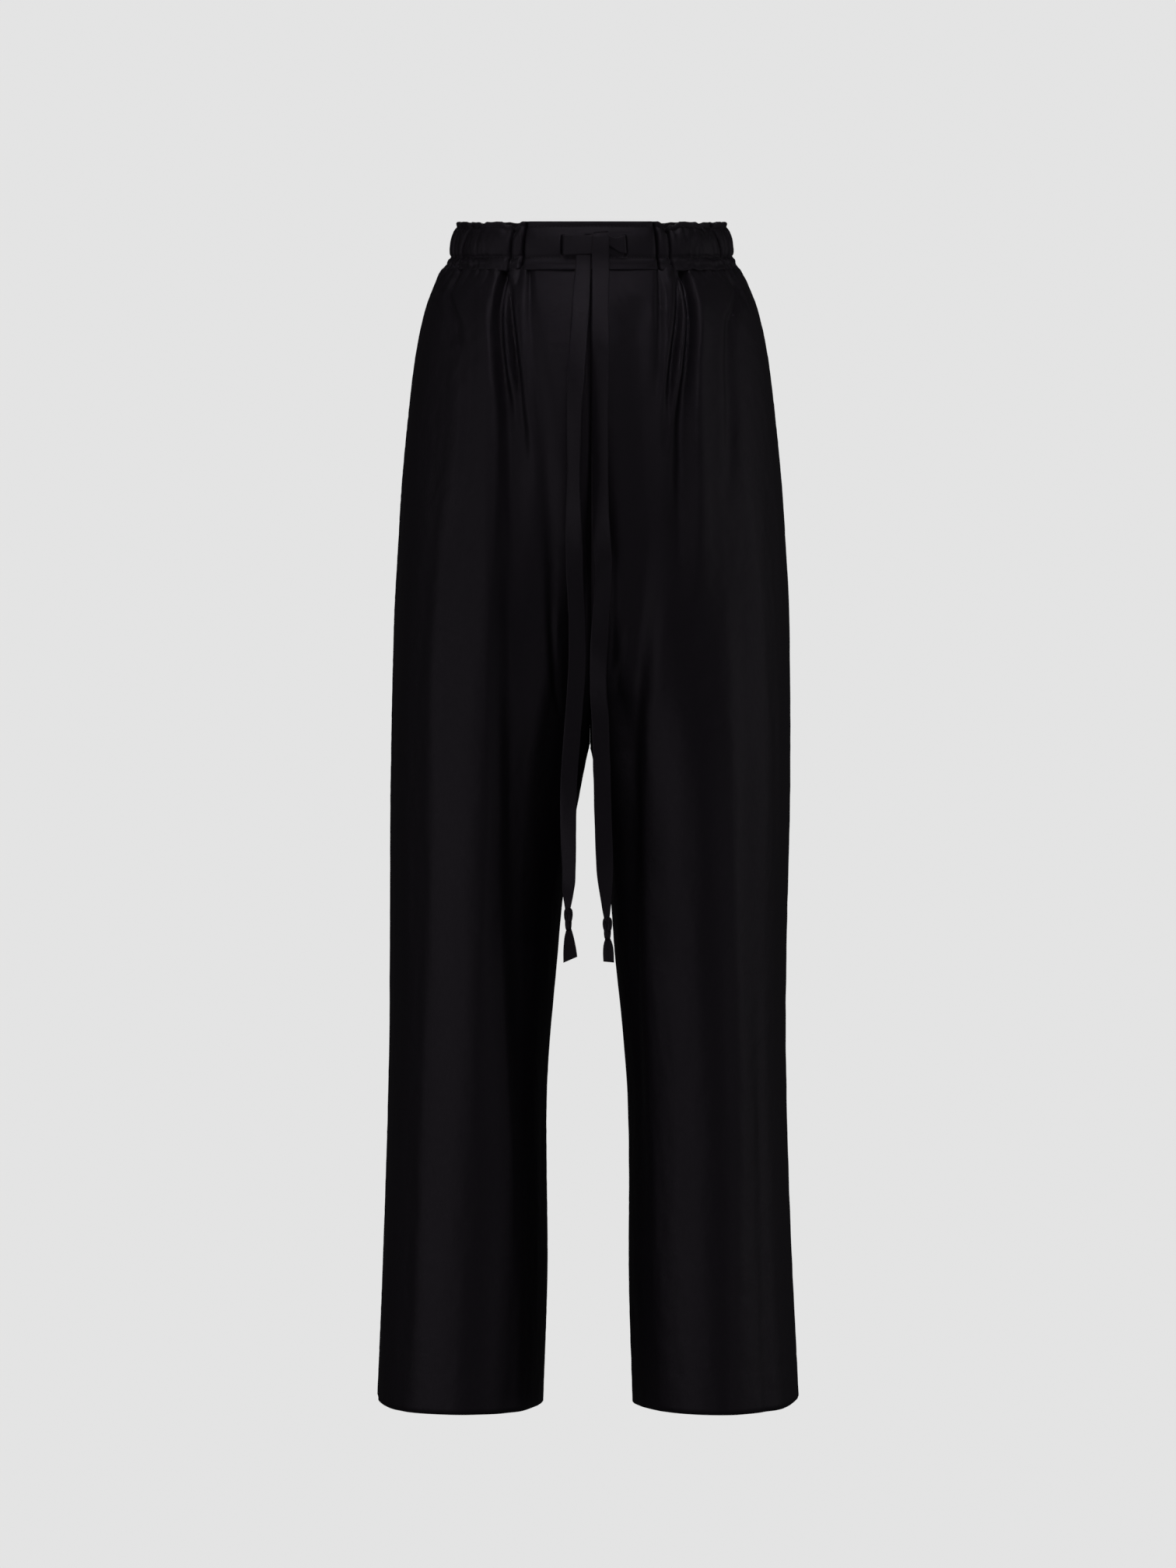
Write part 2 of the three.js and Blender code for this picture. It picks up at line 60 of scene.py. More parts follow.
Section = namedtuple("Section", "z side gap front back")
SECTIONS = [Section(*row) for row in (
    (-23, 130.5, -130.5, -92, 96), (-35, 137, -137, -96, 103), (-62, 147, -146, -104, 114),
    (-103, 155.6, -152, -111, 125), (-160, 162.5, -145, -117, 134), (-215, 167.7, -122, -120, 137),
    (-270, 171, -92, -121, 135), (-325, 174, -62, -121, 129), (-380, 175.5, -34, -120, 123),
    (-415, 176.2, -13, -118.5, 120), (CROTCH, 176.5, 0.0, -117.5, 118), (-468, 176.6, 4.4, -117, 117),
    (-490, 176.7, 8.4, -116, 116), (-530, 176.4, 15, -114, 114), (-592, 175.6, 22.5, -111, 112),
    (-642, 175.3, 26.5, -109, 110), (-697, 175.3, 32, -107, 109), (-752, 176.3, 36, -105, 108),
    (-807, 177.7, 37.2, -104, 108), (-918, 181.5, 37.2, -102, 108), (HEM, 186.3, 41, -101, 110),
)]

# Folds. Each row: height, distance of the trough from the middle, depth (below 0 for a ridge), and how far
# its flanks reach towards the side seam and towards the middle. crisp: 1 gives the outer flank a pressed
# edge.
Fold = namedtuple("Fold", "legs crisp rows")
BOTH = (1, -1)
LEFT, RIGHT = (1,), (-1,)
FRONT_FOLDS = [
    # the long pleat under the first gathers; on the right leg it opens into the hollow of the inner thigh
    Fold(RIGHT, 0.7, [
        (-20, 75.5, 5, 3, 3), (-28, 75.8, 7.5, 3.5, 3.5), (-37, 77.5, 9, 3.6, 3.4),
        (-55, 80, 9, 3.8, 3.6), (-72, 80.6, 9, 4, 4), (-95, 79.5, 9, 4.2, 4.2),
        (-118, 77.3, 9.5, 4.6, 4.6), (-142, 74.6, 10, 5, 8), (-166, 72.4, 10, 6, 14),
        (-190, 71.4, 10, 6.5, 20), (-212, 70.6, 10, 7, 26), (-257, 69.6, 10.5, 8, 44),
        (-301, 69, 11, 9, 56), (-345, 68.4, 11, 11, 56), (-409, 67, 10.5, 13, 52),
        (-510, 63, 9.5, 16, 55), (-611, 63, 6.5, 20, 55), (-700, 66, 3.5, 22, 50),
        (-790, 70, 0, 22, 50),
    ]),
    Fold(LEFT, 0.6, [
        (-20, 80, 5, 3, 3), (-28, 81, 8, 3.2, 3.2), (-37, 83.5, 9, 3.6, 3.4), (-55, 86.5, 9, 3.8, 3.6),
        (-72, 87.4, 9, 4, 4), (-95, 86, 9, 4.4, 4.2), (-118, 83.8, 9, 5, 4.6), (-142, 81, 9.5, 6, 6),
        (-166, 79, 9.5, 7, 8), (-212, 78.6, 9, 8, 10), (-257, 77.6, 7, 9, 12), (-300, 76.5, 3.6, 9, 12),
        (-360, 75.5, 0, 8, 10),
    ]),
    # the second pleat, which leaves the first under the band
    Fold(RIGHT, 0.4, [
        (-28, 72.6, 0, 2.4, 2.4), (-38, 71.6, 4.5, 2.6, 2.6), (-55, 70.8, 7, 3, 2.8),
        (-72, 69.2, 8, 3.4, 3), (-95, 66.8, 8, 3.6, 3.2), (-118, 64.4, 7.5, 3.8, 3.6),
        (-142, 62.4, 6, 4, 4.2), (-166, 60.8, 4.5, 4.2, 5), (-190, 59.5, 2, 5, 6),
        (-212, 58.5, 0, 5, 6),
    ]),
    Fold(LEFT, 0.4, [
        (-26, 77, 0, 2.4, 2.4), (-38, 76.8, 4.5, 2.6, 2.6), (-55, 76.8, 7, 3, 2.8),
        (-72, 76, 8, 3.4, 3), (-95, 73, 8, 3.6, 3.2), (-118, 70.4, 7.5, 3.8, 3.6),
        (-142, 68.4, 6, 4, 4.2), (-166, 67, 4.5, 4.2, 5), (-190, 65.5, 2, 5, 6), (-212, 64, 0, 5, 6),
    ]),
    # the crease that starts under each end of the flat front; on the right leg it runs in to the crotch
    Fold(RIGHT, 0, [
        (-20, 53.6, 4, 2, 2.2), (-36, 53.2, 3.5, 2.4, 3), (-72, 52, 3, 4.5, 5.5), (-118, 48, 3.2, 6, 8),
        (-166, 42.6, 4.4, 7, 10), (-212, 39, 5, 7, 11), (-257, 36.4, 5, 7, 11), (-301, 32.6, 4.4, 6, 9),
        (-345, 29, 4, 5, 4.5), (-389, 26, 2.5, 4.5, 4.5), (-430, 23, 0, 4, 4),
    ]),
    Fold(LEFT, 0, [
        (-20, 59.2, 4, 2, 2.2), (-36, 60, 3.5, 2.4, 3), (-72, 60.6, 3.6, 3.6, 4.5), (-118, 60, 3, 4, 6),
        (-150, 58.5, 2, 5, 8), (-185, 57, 0, 6, 8),
    ]),
    # the rib beside the pleat
    Fold(RIGHT, 0, [
        (-30, 93, 0, 8, 6), (-60, 92, -2.4, 10, 6), (-118, 91, -2.4, 14, 7), (-250, 91, -3, 22, 9),
        (-420, 84, -6.8, 32, 12), (-600, 79, -9, 34, 14), (-800, 74, -9, 36, 18),
        (-1000, 70, -7.5, 40, 22), (-1032, 70, -7, 40, 22),
    ]),
    Fold(LEFT, 0, [
        (-30, 96, 0, 6, 6), (-60, 96, -2, 10, 6), (-118, 93.5, -2.2, 12, 6), (-250, 93, -2.2, 14, 8),
        (-330, 97, 0, 14, 10),
    ]),
    # the hollow of the left belly, which narrows into the inner thigh
    Fold(LEFT, 0.2, [
        (-46, 40, 0, 12, 16), (-66, 41, 3.5, 13, 20), (-118, 43, 6, 13, 24), (-166, 45, 8.5, 14, 26),
        (-212, 47, 10, 15, 27), (-257, 48, 10, 17, 26), (-301, 46, 10.5, 16, 22),
        (-345, 42, 10.5, 13, 16), (-389, 39, 9.5, 12, 14), (-432, 35, 8, 12, 16),
        (-510, 36, 6.4, 12, 20), (-600, 40, 4.4, 12, 22), (-760, 46, 2.4, 12, 26),
        (-900, 52, 0, 12, 28),
    ]),
    # a short crease at the crotch
    Fold(LEFT, 0.3, [(-320, 30, 0, 4.5, 5), (-370, 22, 1.8, 4.5, 5), (-420, 12, 0, 4.5, 5)]),
    # the curved wrinkle at each hip, which runs on down as the shallow hollow outside the rib
    Fold(RIGHT, 0, [
        (-20, 113.5, 2.4, 2.6, 3), (-32, 118, 2.8, 4, 3), (-45, 124.5, 3.2, 7, 3),
        (-58, 121.5, 3.2, 10, 3.4), (-72, 116.5, 2.4, 13, 4), (-96, 114, 0, 13, 5),
    ]),
    Fold(RIGHT, 0, [
        (-84, 114, 0, 14, 9), (-118, 112.5, -2.6, 16, 8), (-166, 114.5, -3, 18, 8),
        (-212, 119, -2.6, 18, 10), (-270, 128, -1.6, 15, 12), (-320, 131, -3, 13, 14),
        (-389, 134, -3.6, 13, 14), (-510, 133, -3.6, 13, 14), (-600, 133, -3.2, 13, 14),
        (-713, 139, -2.6, 12, 13), (-814, 142, -2.4, 12, 12), (-915, 145, -2, 12, 12),
        (-1032, 153, -1, 10, 10),
    ]),
    Fold(LEFT, 0, [
        (-20, 115.5, 2.4, 2.6, 3), (-30, 120, 2.8, 4, 3), (-43, 127.5, 3.2, 6, 3),
        (-57, 125.5, 3.2, 8, 3.4), (-70, 120.5, 3, 9, 4), (-118, 119.5, 2.6, 10, 5),
        (-166, 121, 2.6, 10, 6), (-240, 120, 0, 10, 8),
    ]),
    # long soft folds down the legs
    Fold(RIGHT, 0, [
        (-640, 62, 0, 8, 8), (-800, 66, 1.2, 8, 8), (-960, 70, 1.4, 9, 9), (-1032, 72, 1.6, 10, 9),
    ]),
    Fold(LEFT, 0, [
        (-290, 112, 0, 14, 22), (-389, 116, -2.8, 15, 28), (-510, 120, -4, 16, 32),
        (-713, 127, -4.8, 16, 36), (-860, 126, -4.8, 17, 36), (-1032, 119, -4.4, 18, 34),
    ]),
    Fold(LEFT, 0, [(-560, 146, 0, 7, 7), (-760, 150, 1, 7, 7), (-1032, 158, 1.6, 8, 8)]),
]
BACK_FOLDS = [
    Fold(RIGHT, 0.5, [(-20, 24, 4, 4, 5), (-35, 24, 5, 6, 7), (-120, 26, 5, 9, 10), (-230, 31, 0, 9, 12)]),
    Fold(LEFT, 0.5, [(-20, 21, 4, 4, 5), (-35, 21, 5, 5, 7), (-110, 24, 4.5, 8, 10), (-200, 28, 0, 9, 12)]),
    Fold(RIGHT, 0.6, [
        (-20, 58, 5, 4, 4), (-40, 58, 7.5, 6, 7), (-120, 62, 7, 7, 10), (-270, 67, 0, 10, 14),
    ]),
    Fold(LEFT, 0.6, [
        (-20, 61, 5, 4, 4), (-40, 61, 7.5, 6, 7), (-140, 64, 7, 7, 10), (-290, 70, 0, 10, 14),
    ]),
    Fold(RIGHT, 0.4, [
        (-20, 94, 4, 4, 4), (-40, 95, 5, 7, 8), (-100, 103, 4.5, 8, 9), (-200, 108, 0, 9, 10),
    ]),
    Fold(LEFT, 0.4, [(-20, 91, 4, 4, 4), (-40, 93, 5, 7, 8), (-90, 100, 4.5, 8, 9), (-180, 106, 0, 9, 10)]),
    Fold(BOTH, 0, [(-50, 42, 0, 5, 5), (-80, 43, 2, 5, 5), (-160, 46, 1.4, 5, 6), (-230, 48, 0, 6, 6)]),
    Fold(BOTH, 0, [(-45, 77, 0, 5, 5), (-75, 80, 1.8, 5, 5), (-150, 86, 1.4, 5, 6), (-210, 89, 0, 6, 6)]),
    Fold(RIGHT, 0.3, [
        (-290, 38, 0, 13, 16), (-360, 38, 6, 13, 16), (-430, 35, 8, 13, 18), (-540, 48, 4, 14, 18),
        (-620, 58, 0, 14, 18),
    ]),
    Fold(LEFT, 0.3, [
        (-310, 40, 0, 13, 16), (-380, 39, 7, 13, 16), (-450, 37, 8, 13, 18), (-560, 50, 4, 14, 18),
        (-650, 60, 0, 14, 18),
    ]),
    Fold(RIGHT, 0.3, [(-240, 22, 0, 5, 5), (-300, 18, 2.6, 5, 6), (-390, 12, 0, 5, 5)]),
    Fold(LEFT, 0.3, [(-260, 26, 0, 5, 5), (-330, 19, 2.4, 5, 6), (-410, 12, 0, 5, 5)]),
    Fold(LEFT, 0.2, [
        (-420, 84, 0, 12, 14), (-560, 90, 4, 12, 15), (-760, 98, 4.5, 13, 15), (-1032, 104, 5, 14, 15),
    ]),
    Fold(RIGHT, 0.2, [
        (-460, 112, 0, 12, 13), (-600, 112, 4, 12, 13), (-800, 111, 4.5, 13, 14),
        (-1032, 106, 5, 13, 14),
    ]),
    Fold(RIGHT, 0, [(-520, 68, 0, 8, 8), (-700, 72, 1.8, 8, 8), (-1032, 76, 2, 9, 9)]),
    Fold(LEFT, 0, [(-500, 134, 0, 8, 8), (-760, 142, 1.6, 8, 8), (-1032, 150, 1.8, 9, 9)]),
]
FOLD_EDGE = 14  # folds die away over this distance from a seam
RIB = 0.16  # how far the cloth stands up beside a crisp fold, as a share of its depth

# The hollow along the middle seam. Each row: height and depth.
VALLEY = [(-90, 0), (-200, 6), (-270, 11), (-325, 13), (-380, 10), (-425, 3), (-448, 0)]
VALLEY_WIDE = {1: 15, -1: 38}  # how far it reaches on each leg

# How far each leg leans aside. Each row: height, the move of the side seam and that of the inner seam.
# 1 is the left leg and -1 the right.
LEAN = {
    1: [(-23, 1.4, 0), (-60, 2.2, 0), (-200, 2.6, 0), (-300, 2.8, 0), (-400, 1.4, 0), (-500, 0.6, -0.8),
        (-600, -0.8, -4), (-700, -2.2, -3.2), (-850, -2.2, -2.8), (HEM, -1.2, -3.6)],
    -1: [(-23, 0, 0), (-400, 0, 0), (-500, -0.8, -1), (-600, -2, -3.4), (-700, -2.8, -3), (-850, -3.3, -1),
         (HEM, -3, -0.5)],
}

# ---- Waistband ----
Row = namedtuple("Row", "z out gather lift")
BAND_ROWS = [
    Row(16, 1.8, 0.8, 1),
    Row(13.2, 1.0, 0.75, 0.9),
    Row(9, 2.5, 1, 0.5),
    Row(2, 3.5, 1.1, 0.1),
    Row(-6, 3.1, 1.1, 0),
    Row(-11, 1.8, 1, 0),
    Row(-14.3, 0.5, 0.8, 0),
    Row(-17.6, 2.1, 0.9, 0),
    Row(-20.8, 1.6, 0.8, 0.1),
    Row(-22.6, 2.3, 0.9, 0.2),
    Row(WAIST_SEAM, 2.4, 0.9, 0.3),
]
FLAT_EASE = 0.2  # the flat front bulges less than the gathers
BAND_LINING = 1.5  # how far the inside of the band lies within the base oval
BAND_SIDE = 118  # half sizes of the base oval at the top edge
BAND_DEPTH = 87
FLARE_SIDE = 0.22  # how fast they grow downwards
FLARE_DEPTH = 0.1
PANEL_EDGE = 56  # where the flat front ends
FLAT_CROWN = 0.5
FLAT_END = 3  # over this length it is drawn in beside the gathers
FLAT_NOTCH = 0.6  # how deep the notch there is, as a share of a pinch's
BAND_LEAN = 2.4  # the band reaches this much further on the left
STITCH_ROWS = (13.2, -14.3)  # heights of the two lines of stitches round the casing
FRILL_TOP = -15.5  # below this the gathered band ruffles

# The pinches of one half of the gathers. Each: distance along the band from the flat front's end, strength,
# how far it slants outwards from top to bottom, and how far the top edge dips there.
Pinch = namedtuple("Pinch", "run strength slant dip")
PINCH_LINES = [Pinch(*row) for row in (
    (0, 1, 0, 0.5), (11.8, 1, 0, 6.5), (18, 0.15, 0, 4), (26, 0.1, 1, 0.6), (36, 0.14, 2, 1),
    (46, 0.1, 3, 2.6), (55, 0.14, 4, 1.5), (64, 1.1, 11, 1.4), (74, 0.3, 2, 0.6), (84, 0.6, 1, 2.4),
    (96, 0.35, 0, 0.8), (107, 0.9, -2, 3), (116, 0.3, 0, 0.6), (129, 0.4, 1, 1.6), (139, 0.95, 2, 3.6),
    (151, 0.35, 0, 0.8), (163, 0.5, -1, 2), (172, 0.9, -2, 3.4), (186, 0.3, 0, 0.8), (198, 0.4, 1, 1.5),
    (208, 1, 2, 3.2), (221, 0.35, 0, 0.8), (233, 0.6, 0, 2.2), (246, 0.9, -1, 2.8), (258, 0.35, 0, 0.8),
)]
PINCH_DEEP = 3.0
PINCH_WIDE = 4.2
NOTCH_DEEP = 3.4
NOTCH_WIDE = 1.15
DEEP_DIP = 2  # a dip of the top edge that is deeper than this is also narrower
DIP_WIDE, DEEP_DIP_WIDE = 7, 4.6

# ---- Drawstring ----
# It follows the route of its solids, and stands a little further out where its layers cross on the casing.
# lie: 0 where the tape stands on edge, 1 where it hangs. turn: degrees that it is turned out of the front.
Stop = namedtuple("Stop", "x y z wide turn lie")
TAPE_THICK = 1.3
LEFT_ROUTE = [Stop(*row) for row in (
    (31, -91, -12, 16, 0, 0), (26, -92, -12.2, 14, 0, 0), (21, -93, -11, 9, 0, 0.05),
    (15.5, -94.2, -9, 8, 0, 0.35), (10, -95, -5.5, 12, 0, 0.9), (8.9, -96.4, -1.7, 13.5, 0, 1),
    (8.9, -97.7, -4.5, 14.5, 0, 1), (8.9, -98, -14, 15, 0, 1), (8.8, -98.2, -32, 15, 0, 1),
    (8.7, -105.8, -72, 15, 0, 1), (8.5, -113, -113, 15.5, -22, 1), (8.6, -119.7, -180, 16, -32, 1),
    (9.2, -123.4, -241, 15.5, -30, 1), (10.6, -124.6, -274, 15, -10, 1),
    (11.2, -124.8, -305, 15, 24, 1), (8.6, -124.8, -342, 15, 14, 1), (6.6, -124.6, -389, 15, -14, 1),
    (8.6, -124.5, -430, 15, 2, 1), (10.2, -124.4, -476, 15, 6, 1), (11.2, -124.3, -517, 15, 2, 1),
    (12.6, -124.2, -557, 14.5, 10, 1), (13.6, -124.2, -584, 10, 28, 1), (14.4, -124.2, -599, 5, 30, 1),
)]
RIGHT_LEAD = [Stop(*row) for row in (
    (-24.2, -91.4, -12.8, 17, 0, 0), (-22, -92.6, -12.8, 17, 0, 0), (-15, -94.6, -12.8, 17, 0, 0),
    (-6, -95.4, -12.9, 17, 0, 0), (2, -95.6, -13, 16, 0, 0), (7, -95.4, -13, 15, 0, 0),
)]
RIGHT_ROUTE = [Stop(*row) for row in (
    (-5.8, -93.4, -10, 13, 0, 1), (-5.9, -93.9, -21.7, 13, 0, 1), (-6.6, -95.9, -38, 14, 0, 1),
    (-8.6, -105.6, -72, 15.5, 0, 1), (-10.6, -112, -104, 15.5, -6, 1),
    (-13.4, -119.6, -145, 15, -24, 1), (-14.6, -126.4, -209, 14.5, -40, 1),
    (-14.8, -126.2, -245, 15, -30, 1), (-13.2, -125.2, -305, 15, 8, 1), (-11.4, -125, -342, 15, 10, 1),
    (-11.8, -124.8, -385, 15, 4, 1), (-15, -124.6, -430, 15, 2, 1), (-18.4, -124.5, -476, 14.5, 0, 1),
    (-19.2, -124.4, -517, 14.5, -14, 1), (-18.6, -124.3, -556, 14, -32, 1),
    (-19.2, -124.2, -575, 10, -10, 1), (-19.6, -124.2, -591, 4.5, -20, 1),
)]
LEFT_TAIL = [Stop(*row) for row in (
    (15, -124.2, -615, 4, 0, 1), (15.3, -124.1, -621, 8, -6, 1), (15.6, -124, -628, 9.5, -8, 1),
    (15.9, -124, -636, 9.5, -8, 1),
)]
RIGHT_TAIL = [Stop(*row) for row in (
    (-18.4, -124.2, -607, 4, 0, 1), (-18.4, -124.1, -614, 8, 6, 1), (-17.8, -124, -624, 11, 8, 1),
    (-17.2, -124, -634, 12.5, 10, 1),
)]
Knot = namedtuple("Knot", "at half")
LEFT_KNOT = Knot((14.8, -124.2, -607.2), (4.4, 3.3, 10.2))
RIGHT_KNOT = Knot((-19, -124.2, -599.2), (4.0, 3.2, 10.2))

# ---- Camera ----
CAMERA_AT = (-0.002, -4.8, -0.482)
FRAME_HIGH = 1.392  # how much of the object's own plane the frame's height takes in
SENSOR = 36


# ---- Small tools ----
def smooth(share):
    s = min(max(share, 0.0), 1.0)
    return s * s * (3 - 2 * s)


def bump(distance, wide):
    """A soft hump: 1 on its line, dying away at about twice its width."""
    return math.exp(-((distance / wide) ** 2))


def lerp(a, b, share):
    return a + (b - a) * share


def along(rows, z):
    """Every column of a table at height z, on a smooth curve through its rows, from the top row down."""
    last = len(rows) - 1
    if z >= rows[0][0]:
        return rows[0]
    if z <= rows[last][0]:
        return rows[last]
    k = next(i for i in range(last) if z >= rows[i + 1][0])
    span = rows[k + 1][0] - rows[k][0]
    q = (z - rows[k][0]) / span

    def slope(i, column):
        above, below = rows[max(i - 1, 0)], rows[min(i + 1, last)]
        return (below[column] - above[column]) / (below[0] - above[0])

    return [
        rows[k][c] * (1 + 2 * q) * (1 - q) ** 2
        + slope(k, c) * span * q * (1 - q) ** 2
        + rows[k + 1][c] * q * q * (3 - 2 * q)
        + slope(k + 1, c) * span * q * q * (q - 1)
        for c in range(len(rows[k]))
    ]


def tilt(z, y):
    """How far the tilt of the waist raises a point."""
    return WAIST_TILT * y * smooth((z - TILT_ENDS) / (WAIST_SEAM - TILT_ENDS))


Wave = namedtuple("Wave", "high wide long")  # how far it stands out, and its size along and down the cloth


def uneven(a, b, c):
    """A smooth uneven value between -1 and 1."""
    return noise.noise(Vector((a, b, c)))


def stand_out(wave, run, z, seed):
    """How far an uneven wave of the cloth stands out at a place."""
    return wave.high * uneven(run / wave.wide, z / wave.long, seed)


def new_thing(name, bm, material):
    mesh = bpy.data.meshes.new(name)
    bm.to_mesh(mesh)
    bm.free()
    thing = bpy.data.objects.new(name, mesh)
    bpy.context.scene.collection.objects.link(thing)
    mesh.materials.append(material)
    return thing


def new_piece(name, bm, material):
    for face in bm.faces:
        face.smooth = True
    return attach(new_thing(name, bm, material), BODY)


def sheet_mesh(columns, rows, place, outward):
    """A grid of cloth. place(column, row) gives a point and how far along and down the cloth it is, for the
    weave. outward is 1 where the grid's faces already look out, and -1 where they have to be turned."""
    bm = bmesh.new()
    bmesh.ops.create_grid(bm, x_segments=columns, y_segments=rows, size=0.5)
    weave = bm.loops.layers.uv.new("weave")
    where = {}
    for vertex in bm.verts:
        column = round((vertex.co.x + 0.5) * columns)
        row = round((0.5 - vertex.co.y) * rows)
        point, where[vertex] = place(column, row)
        vertex.co = Vector(point) * MM
    for face in bm.faces:
        for loop in face.loops:
            loop[weave].uv = Vector(where[loop.vert]) * MM
    if outward < 0:
        bmesh.ops.reverse_faces(bm, faces=bm.faces)
    return bm


def thicken(piece, thickness):
    wall = piece.modifiers.new("cloth", "SOLIDIFY")
    wall.thickness = thickness * MM
    wall.offset = -1
    return piece


STITCH_PITCH = 3.2
THREAD = 0.3  # half the thickness of a stitch
STITCH_PROUD = 0.2  # how far a stitch's middle stands off the cloth
STITCH_START, STITCH_END = 0.15, 0.85  # where in its pitch a stitch starts and ends, as shares


def sew(bm, lie, length):
    """Adds a line of stitches. lie(share) gives its place from its start, 0, to its end, 1."""
    count = round(length / STITCH_PITCH)
    for k in range(count):
        start, end = Vector(lie((k + STITCH_START) / count)), Vector(lie((k + STITCH_END) / count))
        turned = (end - start).to_track_quat("Z", "Y").to_matrix().to_4x4()
        size = Matrix.Diagonal((THREAD * MM, THREAD * MM, (end - start).length / 2 * MM, 1))
        matrix = Matrix.Translation((start + end) / 2 * MM) @ turned @ size
        bmesh.ops.create_uvsphere(bm, u_segments=6, v_segments=4, radius=1, matrix=matrix)


# ---- Finishes ----
class Wire:
    """A socket of a material. Sums, differences and products of wires become Math nodes."""

    def __init__(self, finish, socket):
        self.finish, self.socket = finish, socket

    def math(self, operation, *values):
        inputs = dict(enumerate(values))
        return self.finish.node("ShaderNodeMath", {"operation": operation}, inputs)

    def __add__(self, other):
        return self.math("ADD", self, other)

    def __sub__(self, other):
        return self.math("SUBTRACT", self, other)

    def __rsub__(self, other):
        return self.math("SUBTRACT", other, self)

    def __mul__(self, other):
        return self.math("MULTIPLY", self, other)

    __radd__ = __add__
    __rmul__ = __mul__

    def sine(self):
        return self.math("SINE", self)


class Finish:
    """One material, its shader, and the nodes that are wired into it."""

    def __init__(self, name, constants):
        self.material = bpy.data.materials.new(name)
        self.material.use_nodes = True
        self.tree = self.material.node_tree
        self.shader = self.tree.nodes["Principled BSDF"]
        for socket, value in constants.items():
            self.shader.inputs[socket].default_value = value

    def node(self, kind, settings=None, inputs=None, output=0):
        made = self.tree.nodes.new(kind)
        for key, value in (settings or {}).items():
            setattr(made, key, value)
        for key, value in (inputs or {}).items():
            self.feed(made.inputs[key], value)
        return Wire(self, made.outputs[output])

    def feed(self, socket, value):
        if isinstance(value, Wire):
            self.tree.links.new(value.socket, socket)
        else:
            socket.default_value = value

    def paint(self, **sockets):
        for name, value in sockets.items():
            self.feed(self.shader.inputs[name.replace("_", " ")], value)
        return self.material


THREAD_WIDE = 0.0007  # in metres, as every size in a finish
WORN = 1.35  # how much lighter the paler patches are
VIOLET = (0.95, 0.84, 1, 1)  # tint of the gloss


def satin(name, colour, roughness, specular):
    """Dull black satin: fine slanting threads, a few slubs, and a violet gloss that breaks up softly."""
    finish = Finish(name, {"Specular IOR Level": specular, "Specular Tint": VIOLET})
    place = finish.node("ShaderNodeUVMap", {"uv_map": "weave"})
    split = finish.node("ShaderNodeSeparateXYZ", inputs={0: place})
    across = split
    down = Wire(finish, split.socket.node.outputs[1])
    turn = 2 * math.pi / THREAD_WIDE
    twill = (across * turn + down * (turn * 0.5)).sine()
    warp = (across * (turn * 1.7)).sine()
    stretched = finish.node("ShaderNodeMapping", inputs={0: place, "Scale": (1, 0.12, 1)})
    slubs = finish.node("ShaderNodeTexNoise", inputs={0: stretched, "Scale": 900.0, "Detail": 2.0})
    clouds = finish.node("ShaderNodeTexNoise", inputs={0: stretched, "Scale": 22.0, "Detail": 3.0})
    crush = finish.node("ShaderNodeTexNoise",
                        inputs={0: place, "Scale": 60.0, "Detail": 4.0, "Distortion": 0.6})
    height = twill * 0.5 + warp * 0.3 + slubs * 1.2
    grain = finish.node("ShaderNodeBump",
                        inputs={"Strength": 0.25, "Distance": 0.00006, "Height": height})
    rumple = finish.node("ShaderNodeBump",
                         inputs={"Strength": 0.35, "Distance": 0.0012, "Height": crush, "Normal": grain})
    worn = [c * WORN for c in colour[:3]] + [1]
    tone = finish.node("ShaderNodeMix", {"data_type": "RGBA"},
                       {0: clouds, 6: tuple(colour), 7: tuple(worn)}, output=2)
    rough = roughness + (clouds - 0.5) * 0.16 + (slubs - 0.5) * 0.08
    return finish.paint(Base_Color=tone, Roughness=rough, Normal=rumple)


def plain(name, colour, roughness):
    finish = Finish(name, {"Specular IOR Level": 0.3})
    place = finish.node("ShaderNodeTexCoord", output=3)
    grain = finish.node("ShaderNodeTexNoise", inputs={0: place, "Scale": 1500.0, "Detail": 2.0})
    rough = roughness + (grain - 0.5) * 0.2
    return finish.paint(Base_Color=tuple(colour), Roughness=rough)


BLACK = (0.0034, 0.0026, 0.0042, 1)
TAPE_BLACK = (0.0038, 0.003, 0.0046, 1)
THREAD_BLACK = (0.004, 0.004, 0.005, 1)
leg_cloth = satin("leg_satin", BLACK, 0.58, 0.3)
band_cloth = satin("band_satin", BLACK, 0.58, 0.3)
tape_cloth = satin("tape_satin", TAPE_BLACK, 0.56, 0.3)
thread_black = plain("black_thread", THREAD_BLACK, 0.5)


# ---- Camera, light and ground ----
def set_camera():
    camera = bpy.data.objects.new("camera", bpy.data.cameras.new("camera"))
    bpy.context.scene.collection.objects.link(camera)
    camera.location = CAMERA_AT
    camera.rotation_euler = (math.radians(90), 0, 0)
    camera.data.sensor_width = SENSOR
    camera.data.lens = SENSOR * -CAMERA_AT[1] / FRAME_HIGH
    camera.data.clip_end = 60
    bpy.context.scene.camera = camera


